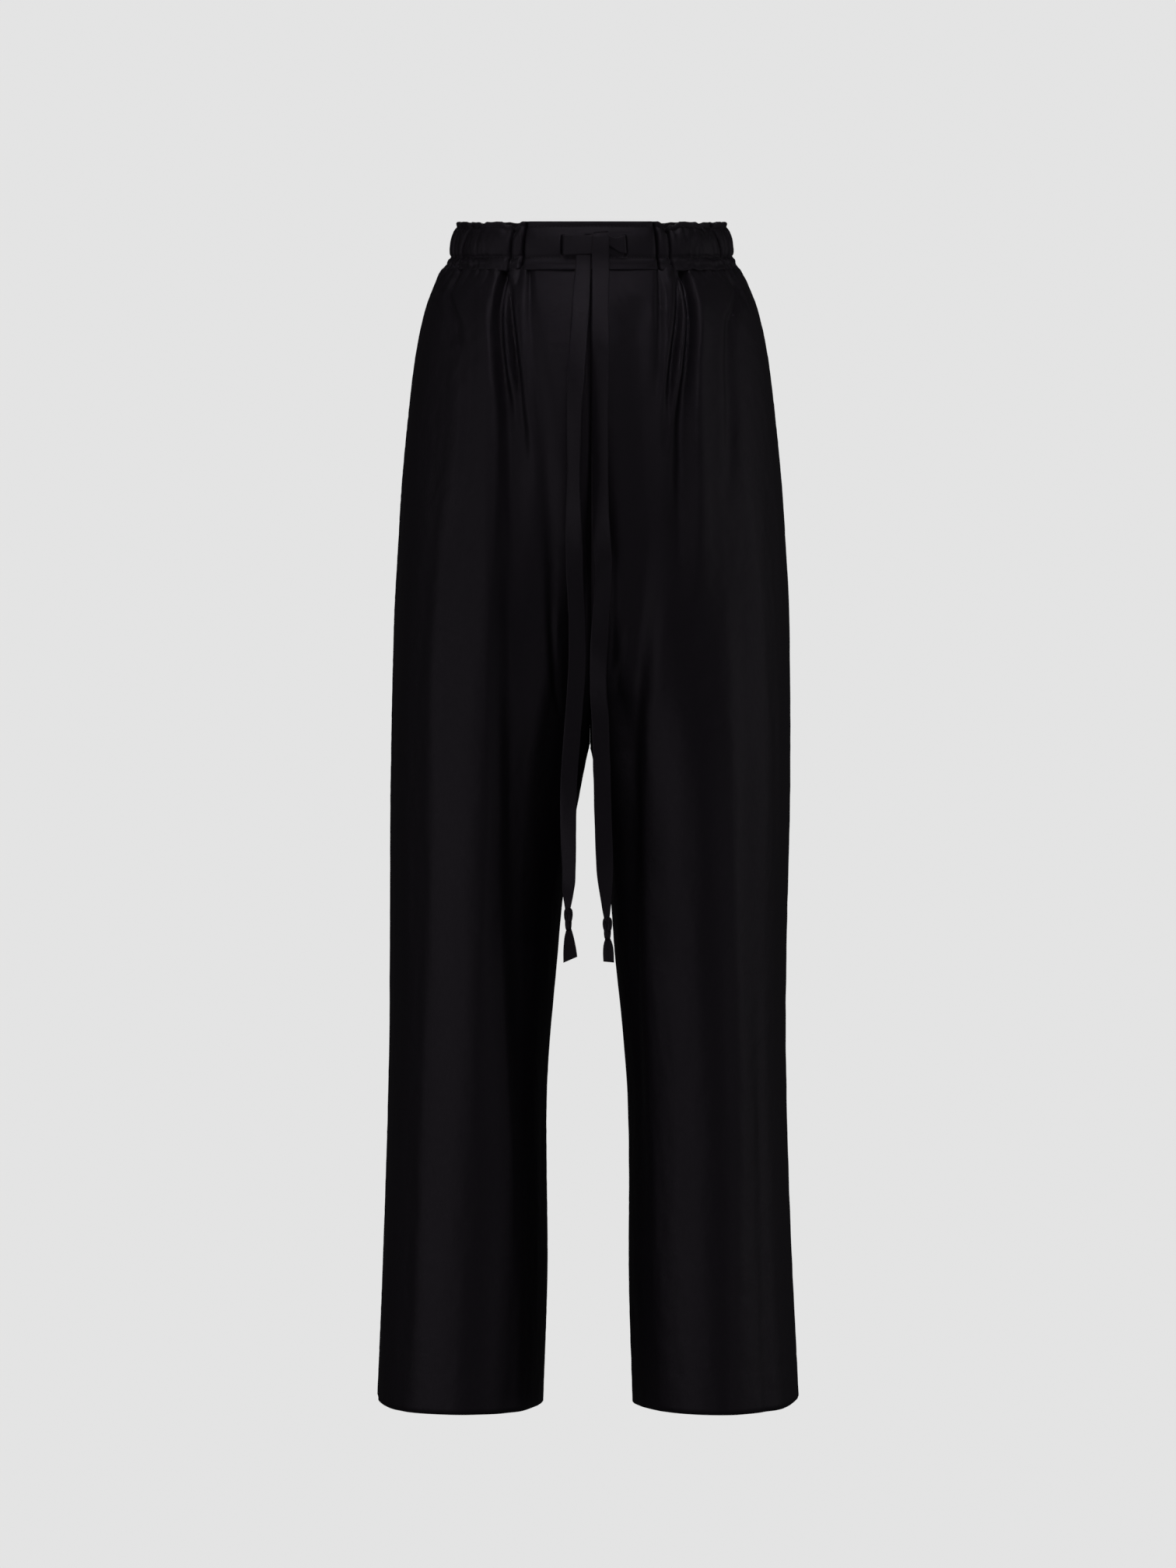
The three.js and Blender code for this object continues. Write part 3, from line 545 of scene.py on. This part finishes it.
Lamp = namedtuple("Lamp", "name at wide high power spread aim")
MIDDLE = (0, 0, -0.5)
LAMPS = [
    Lamp("key_left", (-3.43, -1.39, -0.2), 1.8, 2.6, 13, 180, MIDDLE),
    Lamp("side_right", (3.7, -0.1, -0.2), 1.8, 2.6, 13.5, 180, MIDDLE),
    Lamp("low_left", (-2.0, -3.0, -1.3), 1.4, 0.8, 10.8, 180, MIDDLE),
    Lamp("low_right", (2.0, -3.0, -1.3), 1.4, 0.8, 7.8, 180, MIDDLE),
    Lamp("front_top", (0, -0.7, 2.6), 1.6, 1.2, 13, 180, MIDDLE),
    Lamp("waist_grid", (0, -2.2, 1.4), 0.6, 0.3, 0.14, 16, (0, -0.1, 0.05)),
    Lamp("back", (0, 3.6, 0.9), 0.7, 2.4, 24, 180, MIDDLE),
]
PALE = 0.775  # the studio's pale ground
ROOM = 0.025  # the light that comes back from it
FLOOR_Z = -1.45
FLOOR_WIDE = 1.9
FLOOR_EVEN = 0.9  # the paper starts to fade out here
FLOOR_GLOW = 0.5


def set_light():
    for lamp in LAMPS:
        data = bpy.data.lights.new(lamp.name, "AREA")
        data.shape = "RECTANGLE"
        data.size, data.size_y = lamp.wide, lamp.high
        data.energy = lamp.power
        data.spread = math.radians(lamp.spread)
        light = bpy.data.objects.new(lamp.name, data)
        bpy.context.scene.collection.objects.link(light)
        light.location = lamp.at
        light.visible_camera = False
        light.rotation_euler = (Vector(lamp.aim) - light.location).to_track_quat("-Z", "Y").to_euler()
    world = bpy.data.worlds.new("studio")
    world.use_nodes = True
    ground = world.node_tree.nodes["Background"]
    ray = world.node_tree.nodes.new("ShaderNodeLightPath")
    level = world.node_tree.nodes.new("ShaderNodeMapRange")
    level.inputs["To Min"].default_value = ROOM
    level.inputs["To Max"].default_value = PALE
    world.node_tree.links.new(ray.outputs["Is Camera Ray"], level.inputs["Value"])
    world.node_tree.links.new(level.outputs["Result"], ground.inputs["Strength"])
    ground.inputs["Color"].default_value = (1, 1, 1, 1)
    bpy.context.scene.world = world
    bpy.context.scene.view_settings.view_transform = "Standard"


def set_floor():
    """A round of pale paper, whose edge fades into the studio's ground."""
    bm = bmesh.new()
    lie = Matrix.Translation((0, 0, FLOOR_Z))
    bmesh.ops.create_circle(bm, cap_ends=True, segments=96, radius=FLOOR_WIDE, matrix=lie)
    glow = {"Emission Color": (1, 1, 1, 1), "Emission Strength": FLOOR_GLOW}
    finish = Finish("pale_paper", {"Specular IOR Level": 0.1, **glow})
    place = finish.node("ShaderNodeTexCoord", output=3)
    flat = finish.node("ShaderNodeVectorMath", {"operation": "MULTIPLY"}, {0: place, 1: (1, 1, 0)})
    away = finish.node("ShaderNodeVectorMath", {"operation": "LENGTH"}, {0: flat}, output=1)
    reach = {"From Min": FLOOR_EVEN, "From Max": FLOOR_WIDE, "To Min": 1.0, "To Max": 0.0}
    fade = finish.node("ShaderNodeMapRange", {"interpolation_type": "SMOOTHSTEP"}, {"Value": away, **reach})
    grain = finish.node("ShaderNodeTexNoise", inputs={0: place, "Scale": 300.0, "Detail": 3.0})
    paper = finish.paint(Base_Color=(0.9, 0.9, 0.9, 1), Roughness=0.85 + grain * 0.1, Alpha=fade)
    floor = new_thing("floor", bm, paper)
    floor.visible_diffuse = floor.visible_glossy = False


# ---- Drawstring ----
def curve_through(stops, step):
    """The stops again, with others between them about a step apart, on a smooth curve."""
    made = []
    for k in range(len(stops) - 1):
        before, a = stops[max(k - 1, 0)], stops[k]
        b, after = stops[k + 1], stops[min(k + 2, len(stops) - 1)]
        pieces = max(1, round(math.dist(a[:3], b[:3]) / step))
        for i in range(pieces):
            q = i / pieces
            made.append(Stop(*(
                0.5 * (2 * a[c] + (b[c] - before[c]) * q
                       + (2 * before[c] - 5 * a[c] + 4 * b[c] - after[c]) * q * q
                       + (3 * a[c] - before[c] - 3 * b[c] + after[c]) * q ** 3)
                for c in range(len(a)))))
    return made + [stops[-1]]


SAME_POINT = 0.00002  # points that are nearer than this, in metres, are one
TAPE_SIDES = 20
TAPE_SQUARE = 0.6  # the power that squares the tape's section across its width
TAPE_FLAT = 0.5  # and the one that flattens its faces
TAPE_RIPPLE = Wave(0.35, 26, 1)
TAPE_WANDER = Wave(0.2, 17, 1)
TAPE_VARY = Wave(0.03, 12, 1)  # how unevenly wide it is, as a share


def squared_off(value, power):
    """A sine or cosine that stays near 1 or -1 for longer, for a power below 1."""
    return math.copysign(abs(value) ** power, value)


def tape_mesh(stops, step=3.0, seed=0.0, slant=0.0):
    """A flat tube of cloth along the stops, a little thicker at its pressed edges, closed at both ends.
    slant moves its last end along the tape across its width, where it is cut aslant."""
    rows = curve_through(stops, step)
    lengths = [0.0]
    for a, b in zip(rows, rows[1:]):
        lengths.append(lengths[-1] + math.dist(a[:3], b[:3]))

    def place(column, row):
        stop = rows[row]
        ahead, behind = rows[min(row + 1, len(rows) - 1)], rows[max(row - 1, 0)]
        direction = (Vector(ahead[:3]) - Vector(behind[:3])).normalized()
        turn = math.radians(stop.turn)
        hanging = Vector((math.cos(turn), math.sin(turn), 0))
        across = Vector((0, 0, 1)).lerp(hanging, min(max(stop.lie, 0), 1))
        across = (across - direction * across.dot(direction)).normalized()
        out = direction.cross(across)
        angle = 2 * math.pi * column / TAPE_SIDES
        sideways = squared_off(math.cos(angle), TAPE_SQUARE)
        ripple = stand_out(TAPE_RIPPLE, lengths[row], sideways * 1.3, seed)
        edge = 0.85 + 0.2 * sideways ** 8
        thick = TAPE_THICK / 2 * edge * squared_off(math.sin(angle), TAPE_FLAT)
        wander = stand_out(TAPE_WANDER, lengths[row], seed + 9, 0)
        half = stop.wide / 2 * (1 + stand_out(TAPE_VARY, lengths[row], seed, 5))
        point = Vector(stop[:3]) + across * (half * sideways + wander) + out * (thick + ripple)
        last_third = smooth(row / (len(rows) - 1) * 3 - 2)
        point += direction * slant * sideways * last_third
        return point, (half * sideways, lengths[row])

    bm = sheet_mesh(TAPE_SIDES, len(rows) - 1, place, 1)
    return close_tube(bm)


def close_tube(bm):
    bmesh.ops.remove_doubles(bm, verts=bm.verts, dist=SAME_POINT)
    rims = [edge for edge in bm.edges if edge.is_boundary]
    bmesh.ops.holes_fill(bm, edges=rims, sides=0)
    bmesh.ops.recalc_face_normals(bm, faces=bm.faces)
    return bm


KNOT_STRAND = 2.1  # half the thickness of the strand that is knotted
KNOT_STEPS = 96
KNOT_SIDES = 10
KNOT_MIDDLE = -0.156  # middle and half height of the curve that the strand winds along
KNOT_REACH = 0.844


def knot_mesh(knot):
    """A small pulled knot: one strand that winds through itself twice."""

    def centre(turn):
        x = (math.sin(turn) + 2 * math.sin(2 * turn)) / 3
        y = -math.sin(3 * turn)
        z = ((math.cos(turn) - 2 * math.cos(2 * turn)) / 3 - KNOT_MIDDLE) / KNOT_REACH
        room = [h - KNOT_STRAND for h in knot.half]
        return Vector(knot.at) + Vector((x * room[0], y * room[1], z * room[2]))

    def place(column, row):
        turn = 2 * math.pi * row / KNOT_STEPS
        here = centre(turn)
        direction = (centre(turn + 0.01) - centre(turn - 0.01)).normalized()
        side = direction.cross(Vector((0, 1, 0.2))).normalized()
        out = direction.cross(side)
        angle = 2 * math.pi * column / KNOT_SIDES
        around = side * math.cos(angle) + out * math.sin(angle)
        return here + around * KNOT_STRAND, (column, row * 0.5)

    bm = sheet_mesh(KNOT_SIDES, KNOT_STEPS, place, 1)
    bmesh.ops.remove_doubles(bm, verts=bm.verts, dist=SAME_POINT)
    bmesh.ops.recalc_face_normals(bm, faces=bm.faces)
    return bm


def merge(bm, other):
    """Adds the other mesh to the first."""
    carried = bpy.data.meshes.new("carried")
    other.to_mesh(carried)
    other.free()
    bm.from_mesh(carried)
    bpy.data.meshes.remove(carried)
    return bm


def make_drawstring(side, leads, route, knot, tail, seed, slant):
    tape = tape_mesh(route, seed=seed)
    for lead in leads:
        tape = merge(tape, tape_mesh(lead, seed=seed + 3))
    strand = new_piece(f"drawstring_{side}_tape", tape, tape_cloth)
    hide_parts(f"drawstring_{side}", f"drawstring_{side}_lead")
    knotted = new_piece(f"drawstring_{side}_end_knot", knot_mesh(knot), tape_cloth)
    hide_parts(f"drawstring_{side}_knot")
    end = tape_mesh(tail, step=1.5, seed=seed + 5, slant=slant)
    ending = new_piece(f"drawstring_{side}_end", end, tape_cloth)
    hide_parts(f"drawstring_{side}_tail")
    stops = [stop for lead in leads for stop in lead] + route
    path = [[c * MM for c in stop[:3]] for stop in curve_through(stops, 8)]


# ---- Legs ----
class Outline:
    """One leg's front or back at height z, from its side seam to the inner one. face: -1 front, 1 back."""

    STEPS = 240

    def __init__(self, z, face):
        _, side, gap, front, back = along(SECTIONS, z)
        middle, wide = (side + gap) / 2, (side - gap) / 2
        centre, deep = (front + back) / 2, (back - front) / 2
        end = math.acos(max(-middle / wide, -1.0))
        self.points, self.runs = [], [0.0]
        for k in range(self.STEPS + 1):
            angle = end * k / self.STEPS
            x, y = middle + wide * math.cos(angle), centre + face * deep * math.sin(angle)
            out = Vector((deep * math.cos(angle), face * wide * math.sin(angle))).normalized()
            if k:
                self.runs.append(self.runs[-1] + math.dist((x, y), self.points[-1][:2]))
            self.points.append((x, y, out.x, out.y))
        self.total = self.runs[-1]
        whole = math.pi / 2 * math.sqrt(2 * (wide * wide + deep * deep))
        self.whole = max(whole, self.total)

    def at(self, run):
        k = min(max(bisect.bisect_left(self.runs, run), 1), self.STEPS)
        q = min(max((run - self.runs[k - 1]) / (self.runs[k] - self.runs[k - 1]), 0.0), 1.0)
        return [lerp(a, b, q) for a, b in zip(self.points[k - 1], self.points[k])]

    def run_at(self, x):
        """The distance from the side seam at which the outline first comes within x of the middle."""
        k = next((i for i in range(1, self.STEPS) if self.points[i][0] <= x), self.STEPS)
        before, after = self.points[k - 1][0], self.points[k][0]
        q = min(max((x - before) / (after - before), 0.0), 1.0)
        return lerp(self.runs[k - 1], self.runs[k], q)

    def column(self, share):
        """Where a column of the cloth lies. Only those next to the inner seam follow the crotch's turn."""
        cut = self.whole - self.total
        power = min(max(0.5 * self.whole / max(cut, 1), 1), 8)
        return share * self.whole - cut * share ** power


LEG_COLUMNS = 180
LEG_ROWS = 250
TUCK_ROWS = 3  # rows of cloth that go up inside the waistband
HEM_ROWS = 12
LEG_LENGTH = WAIST_SEAM - HEM
HEM_LINE = HEM + HEM_DEPTH - 2  # height of the hem's stitches
HEM_SAG = 0.25  # how far the turned-up cloth sags off the leg
ROW_EASE = 1.15  # the rows are closer together near the waist
TUCK_HIGH = 4
TUCK_DEEP = 3.4


def leg_level(row):
    """Height of a row of the cloth, and how far in it lies under the band or where the hem is turned up."""
    if row < TUCK_ROWS:
        up = (TUCK_ROWS - row) / TUCK_ROWS
        return WAIST_SEAM + TUCK_HIGH * up, TUCK_DEEP * up ** 0.8
    down = (row - TUCK_ROWS) / (LEG_ROWS - TUCK_ROWS)
    if row <= LEG_ROWS:
        return WAIST_SEAM - LEG_LENGTH * down ** ROW_EASE, 0.0
    if row == LEG_ROWS + 1:
        return HEM - HEM_FOLD, HEM_FOLD
    up = (row - LEG_ROWS - 2) / (HEM_ROWS - 2)
    return HEM + HEM_DEPTH * up, 2 * HEM_FOLD + HEM_SAG * math.sin(math.pi * up)


CROWD = 0.35  # how much closer together the columns are next to the seams


def crowd(share):
    return share - CROWD * math.sin(2 * math.pi * share) / (2 * math.pi)


def uncrowd(want):
    """The share of the columns at which crowd gives what is wanted."""
    share = want
    for _ in range(8):
        share += (want - crowd(share)) / (1 - CROWD * math.cos(2 * math.pi * share))
    return share


def hem_stitches(place, face):
    """The line of stitches that holds the hem, on one leg's front or back."""
    down = ((WAIST_SEAM - HEM_LINE) / LEG_LENGTH) ** (1 / ROW_EASE)
    row = TUCK_ROWS + (LEG_ROWS - TUCK_ROWS) * down

    def lie(share):
        return place(LEG_COLUMNS * uncrowd(lerp(0.01, 0.99, share)), row, STITCH_PROUD)[0]

    bm = bmesh.new()
    sew(bm, lie, Outline(HEM_LINE, face).total)
    return bm


PRESS_WIDE = 1.6  # reach of a crisp fold's pressed flank, and its rib's place and width, as shares of outer
RIB_AT = 2.3
RIB_WIDE = 0.9


def fold_shape(distance, outer, inner, crisp):
    """A fold's profile: 1 in its trough. A crisp one has a pressed edge and a low rib on its outer side."""
    if distance > 0:
        return bump(distance, inner)
    soft = bump(distance, outer)
    if not crisp:
        return soft
    reach = min(-distance / (PRESS_WIDE * outer), 1)
    rib = RIB * bump(distance + RIB_AT * outer, RIB_WIDE * outer)
    pressed = math.cos(reach * math.pi / 2) - rib
    return lerp(soft, pressed, crisp)


def fold_lines(folds, leg, outline, z):
    """Each fold that crosses height z, with the place of its trough on the outline."""
    lines = []
    for fold in folds:
        if leg in fold.legs and fold.rows[-1][0] < z < fold.rows[0][0] + 3:
            _, x, depth, outer, inner = along(fold.rows, z)
            lines.append((outline.run_at(x), depth, outer, inner, fold.crisp))
    return lines


def pinch_lines(face, leg, outline, z):
    """The small folds that hang from the pinches between the waistband's gathers."""
    drop = WAIST_SEAM - z
    lines = []
    for k, (run, strength) in enumerate(PINCHES[face]):
        vary = math.sin(3.7 * k + leg + 2 * face)
        reach = (26 + 14 * vary) * (0.5 + strength)
        depth = (0.8 + 1.6 * strength) * (1 - smooth(drop / reach))
        if depth > 0.01:
            wide = 1.6 + strength + max(drop, 0) * 0.07
            lines.append((run * outline.total, depth, wide))
    return lines


HEM_RISE = 6  # the hem stands a little higher at the side seams
SEAM_CURL = 1.5  # how far the cloth turns in at a seam, and over what distance
SEAM_WIDE = 1.7
PUCKER = 0.35
PUCKER_LONG, PUCKER_WIDE = 3.5, 6
SWAYS = (Wave(1.5, 46, 420), Wave(0.75, 21, 210))  # the slow waves of the hanging cloth
CRUMPLE = Wave(0.3, 9, 16)
FRILL = Wave(1.2, 3.4, 12)  # the small gathers in the first few millimetres under the band
FRILL_LONG = 9
HEM_RISE_WIDE = 42  # how far from the side seam the hem rises, and the height at which that starts
HEM_RISE_FROM = -850
HEM_CREASE = 0.5  # how deep the stitches draw in the hem, and over what height
HEM_CREASE_WIDE = 1.6
STRAIGHT = 9  # next to the middle seam the cloth turns straight in
PINCH_FREE = 6  # the small folds die away over this distance from a seam


def leg_place(leg, face):
    """Gives the function that places the cloth of one leg's front or back."""
    folds = FRONT_FOLDS if face < 0 else BACK_FOLDS
    seed = 3.1 * leg + 7.7 * face
    levels = {}

    def level(row):
        if row not in levels:
            z, inset = leg_level(row)
            outline = Outline(min(z, WAIST_SEAM), face)
            lines = fold_lines(folds, leg, outline, max(z, HEM - HEM_FOLD))
            side, middle = along(LEAN[leg], min(z, WAIST_SEAM))[1:]
            valley = along(VALLEY, z)[1] if CROTCH < z < VALLEY[0][0] else 0
            pinches = pinch_lines(face, leg, outline, z)
            levels[row] = (z, inset, outline, lines, pinches, side, middle, valley)
        return levels[row]

    def place(column, row, proud=0.0):
        z, inset, outline, lines, pinches, side_lean, inner_lean, valley = level(row)
        run = outline.column(crowd(column / LEG_COLUMNS))
        x, y, out_x, out_y = outline.at(run)
        to_seam = outline.total - run
        from_seam = min(run, to_seam)
        free = smooth(run / FOLD_EDGE) * smooth(to_seam / FOLD_EDGE)
        depth = free * sum(d * fold_shape(run - at, *shape) for at, d, *shape in lines)
        depth += smooth(from_seam / PINCH_FREE) * sum(d * bump(run - at, wide) for at, d, wide in pinches)
        drop = WAIST_SEAM - z
        low = smooth((drop - 60) / 200)
        depth += free * low * sum(stand_out(sway, run, z, seed) for sway in SWAYS)
        depth += free * stand_out(CRUMPLE, run, z, seed)
        depth += stand_out(FRILL, run, z, seed) * bump(drop, FRILL_LONG) * gathered_share(x, face)
        depth += SEAM_CURL * bump(from_seam, SEAM_WIDE)
        depth += PUCKER * uneven(z / PUCKER_LONG, seed, 0) * bump(from_seam, PUCKER_WIDE)
        depth += valley * bump(to_seam, VALLEY_WIDE[leg])
        if inset == 0:
            depth += HEM_CREASE * bump(z - HEM_LINE, HEM_CREASE_WIDE)
        depth += inset - proud
        straight = bump(to_seam, STRAIGHT) if z > CROTCH else 0.0
        point_x = x - out_x * depth * (1 - straight)
        point_y = y - out_y * depth * (1 - straight) - face * depth * straight
        lean = lerp(side_lean, inner_lean, run / outline.total)
        rise = HEM_RISE * bump(run, HEM_RISE_WIDE) * smooth((z - HEM_RISE_FROM) / (HEM - HEM_RISE_FROM))
        point = (leg * point_x + lean, point_y, z + tilt(z, point_y) + rise)
        return point, (run, -z if row <= LEG_ROWS else -2 * HEM + z)

    return place


def gathered_share(x, face):
    """0 under the flat front, 1 under the gathers."""
    return 1.0 if face > 0 else smooth((abs(x) - PANEL_EDGE) / 8)


def make_leg_panel(side, leg, where, face):
    place = leg_place(leg, face)
    bm = sheet_mesh(LEG_COLUMNS, LEG_ROWS + HEM_ROWS, place, leg * face)
    panel = thicken(new_piece(f"{where}_{side}_panel", bm, leg_cloth), CLOTH)
    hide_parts(f"{where}_{side}_leg")
    sewn = new_piece(f"{where}_{side}_hem_stitches", hem_stitches(place, face), thread_black)


# ---- Waistband ----
def band_point(angle, z, out, lift):
    """A point of the waistband at an angle, anticlockwise from the left, standing out from the base oval."""
    down = BAND_ROWS[0].z - z
    side, deep = BAND_SIDE + down * FLARE_SIDE, BAND_DEPTH + down * FLARE_DEPTH
    normal = Vector((deep * math.cos(angle), side * math.sin(angle))).normalized()
    x = side * math.cos(angle) + normal.x * out
    y = deep * math.sin(angle) + normal.y * out
    return Vector((x + BAND_LEAN * smooth((x - 60) / 50), y, z + lift + WAIST_TILT * y))


class Gathers:
    """One half of the waistband by length, from the end of the flat front to the middle of the back."""

    STEPS = 400

    def __init__(self):
        self.start = -math.acos(PANEL_EDGE / BAND_SIDE)
        half = math.pi / 2 - self.start
        self.runs = [0.0]
        for k in range(self.STEPS):
            angle = self.start + half * (k + 0.5) / self.STEPS
            speed = math.hypot(BAND_SIDE * math.sin(angle), BAND_DEPTH * math.cos(angle))
            self.runs.append(self.runs[-1] + speed * half / self.STEPS)
        self.length = self.runs[-1]

    def angle_at(self, run):
        k = min(max(bisect.bisect_left(self.runs, run), 1), self.STEPS)
        q = (run - self.runs[k - 1]) / (self.runs[k] - self.runs[k - 1])
        return self.start + (math.pi / 2 - self.start) * (k - 1 + q) / self.STEPS


GATHERS = Gathers()


def gather_at(run, z):
    """How far the pinches draw the band in at this place."""
    drop = (BAND_ROWS[0].z - z) / (BAND_ROWS[0].z - WAIST_SEAM)
    drawn = 0.0
    for pinch in PINCH_LINES:
        away = abs(run - pinch.run - pinch.slant * (drop - 0.3))
        if away < 4 * PINCH_WIDE:
            wide = PINCH_WIDE * (0.6 + 0.4 * pinch.strength)
            notch = NOTCH_DEEP * pinch.strength ** 2 * bump(away, NOTCH_WIDE)
            drawn += pinch.strength * PINCH_DEEP * math.exp(-away / wide) + notch
    return drawn


def edge_dip(run):
    dips = []
    for pinch in PINCH_LINES:
        wide = DEEP_DIP_WIDE if pinch.dip > DEEP_DIP else DIP_WIDE
        dips.append(pinch.dip * bump(run - pinch.run, wide))
    return max(dips)


def pinch_shares(face):
    """Where the pinches meet a leg's top edge, as shares of the way from its side seam, and their strengths.
    """
    top = Outline(WAIST_SEAM, face)
    shares = []
    for pinch in PINCH_LINES:
        angle = GATHERS.angle_at(pinch.run + pinch.slant * 0.7)
        if angle * face > 0.03:
            shares.append((top.run_at(SECTIONS[0].side * math.cos(angle)) / top.total, pinch.strength))
    return shares


PINCHES = {face: pinch_shares(face) for face in (-1, 1)}

BAND_OUTER = 30  # rows of points down the outside, over the top edge and down the inside
BAND_ROLL = 6
BAND_INNER = 12


def band_profile():
    """The band's closed section, from outside its seam over the top edge to inside its seam."""
    top, bottom = BAND_ROWS[0].z, BAND_ROWS[-1].z
    section = []
    for k in range(BAND_OUTER + 1):
        section.append(Row(*along(BAND_ROWS, lerp(bottom, top, k / BAND_OUTER))))
    radius = (BAND_ROWS[0].out + BAND_LINING) / 2
    for k in range(1, BAND_ROLL):
        angle = math.pi * k / BAND_ROLL
        out = BAND_ROWS[0].out - radius + radius * math.cos(angle)
        section.append(Row(top + radius * math.sin(angle), out, BAND_ROWS[0].gather, 1))
    for k in range(BAND_INNER + 1):
        z = lerp(top, bottom, k / BAND_INNER)
        section.append(Row(z, -BAND_LINING, BAND_ROWS[0].gather, along(BAND_ROWS, z)[3]))
    return section


STITCH_DRAW = 1.3  # how far above and below a line of stitches the cloth is drawn in
FINE_WIDE, FINE_LONG = 3.6, 9  # size of the cloth's finest unevenness
GATHERED_FINE, FLAT_FINE = 0.5, 0.12  # its height
FLAT_OUT = 1.6
RUFFLE = Wave(1.5, 5.5, 8)  # the ruffle under the casing
WAVER = Wave(1.4, 8, 1)  # how unevenly high its lower edge is


def band_surface(level, spot, seed, outer):
    """A point of one waistband piece: level is a row of its section and spot a column of its length."""
    angle, run, half, crown, slot = spot
    gathered = half is not None
    out = level.out if gathered or not outer else lerp(level.out, FLAT_OUT, FLAT_EASE)
    fine = uneven(run / FINE_WIDE, level.z / FINE_LONG, seed) * (GATHERED_FINE if gathered else FLAT_FINE)
    for line in STITCH_ROWS:
        near = bump(level.z - line, STITCH_DRAW) * outer
        fine -= near * (0.5 + 0.2 * math.sin(run * 1.9 + line))
        fine += near * (0.5 * uneven(run / 1.8, line, seed) - 0.5) * gathered
    dip = edge_dip(half) if gathered else 0.4
    ruffle = smooth((FRILL_TOP - level.z) / 4) * gathered * outer
    fine += ruffle * stand_out(RUFFLE, run, level.z, seed + 4)
    waver = stand_out(WAVER, run, 3, seed) * smooth((-8 - level.z) / 6) * gathered
    out += fine + crown - (gather_at(half, level.z) * level.gather if gathered else 0)
    if outer:
        out -= slot * slot_depth(level.z)
    rise = waver - level.lift * dip
    return band_point(angle, level.z, out, rise), (run, level.z + (0 if outer else 60))


def band_mesh(columns, place_at, seed):
    """The wall of one waistband piece. place_at(column) gives its angle, run, distance from the flat front's
    end, crown and how much it is a slot."""
    section = band_profile()
    closed = len(section)
    around = [place_at(column) for column in range(columns + 1)]

    def place(column, row):
        return band_surface(section[row % closed], around[column], seed, row % closed <= BAND_OUTER)

    return close_tube(sheet_mesh(columns, closed, place, 1))


def band_stitches(columns, place_at, length, seed):
    """The two lines of stitches that close the casing."""
    bm = bmesh.new()
    for line in STITCH_ROWS:
        level = Row(*along(BAND_ROWS, line))

        def lie(share):
            angle, run, half, crown, slot = place_at(share * columns)
            return band_surface(level, (angle, run, half, crown + STITCH_PROUD, slot), seed, True)[0]

        sew(bm, lie, length)
    return bm


def slot_depth(z):
    """How open a drawstring slot is at this height of the band."""
    return smooth((z - SLOT_BOTTOM) / 2) * smooth((SLOT_TOP - z) / 2)


GATHERED_COLUMNS = 720
FLAT_COLUMNS = 150
FLAT_LENGTH = 2 * PANEL_EDGE
SLOTS = ((-23.2, 0.9, 3.2), (-2.6, 1.9, 4.2), (28.8, 1.1, 3.4))  # place, half width and depth of each
SLOT_TOP, SLOT_BOTTOM = 5.5, -13.2


def gathered_column(column):
    """Goes round from the left end of the flat front, over the side and the back, to its right end."""
    run = 2 * GATHERS.length * column / GATHERED_COLUMNS
    mirrored = run > GATHERS.length
    half = 2 * GATHERS.length - run if mirrored else run
    angle = GATHERS.angle_at(half)
    return (math.pi - angle if mirrored else angle), run, half, 0, 0


def flat_column(column):
    share = column / FLAT_COLUMNS
    angle = lerp(-math.pi - GATHERS.start, GATHERS.start, share)
    x = BAND_SIDE * math.cos(angle)
    slot = max(deep * bump(x - at, wide) for at, wide, deep in SLOTS)
    to_end = min(share, 1 - share) * FLAT_LENGTH
    drawn = PINCH_DEEP * math.exp(-to_end / FLAT_END) + NOTCH_DEEP * FLAT_NOTCH * bump(to_end, NOTCH_WIDE)
    crown = FLAT_CROWN * math.sin(math.pi * share) - drawn
    return angle, share * FLAT_LENGTH, None, crown, slot


def make_waistband():
    band = new_piece("waistband", band_mesh(GATHERED_COLUMNS, gathered_column, 2.0), band_cloth)
    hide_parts("waistband_gathered")
    casing = band_stitches(GATHERED_COLUMNS, gathered_column, 2 * GATHERS.length, 2.0)
    new_piece("casing_stitches", casing, thread_black)
    front = new_piece("waistband_flat_front", band_mesh(FLAT_COLUMNS, flat_column, 5.0), band_cloth)
    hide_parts("waistband_front")
    sewn = band_stitches(FLAT_COLUMNS, flat_column, FLAT_LENGTH, 5.0)
    new_piece("flat_front_stitches", sewn, thread_black)


# ---- Everything ----
set_camera()
make_drawstring("left", [], LEFT_ROUTE, LEFT_KNOT, LEFT_TAIL, seed=1.3, slant=0.6)
make_drawstring("right", [RIGHT_LEAD], RIGHT_ROUTE, RIGHT_KNOT, RIGHT_TAIL, seed=4.6, slant=-2.2)
set_light()
set_floor()
make_waistband()
for side_name, leg_side in (("left", 1), ("right", -1)):
    make_leg_panel(side_name, leg_side, "front", -1)
    make_leg_panel(side_name, leg_side, "back", 1)
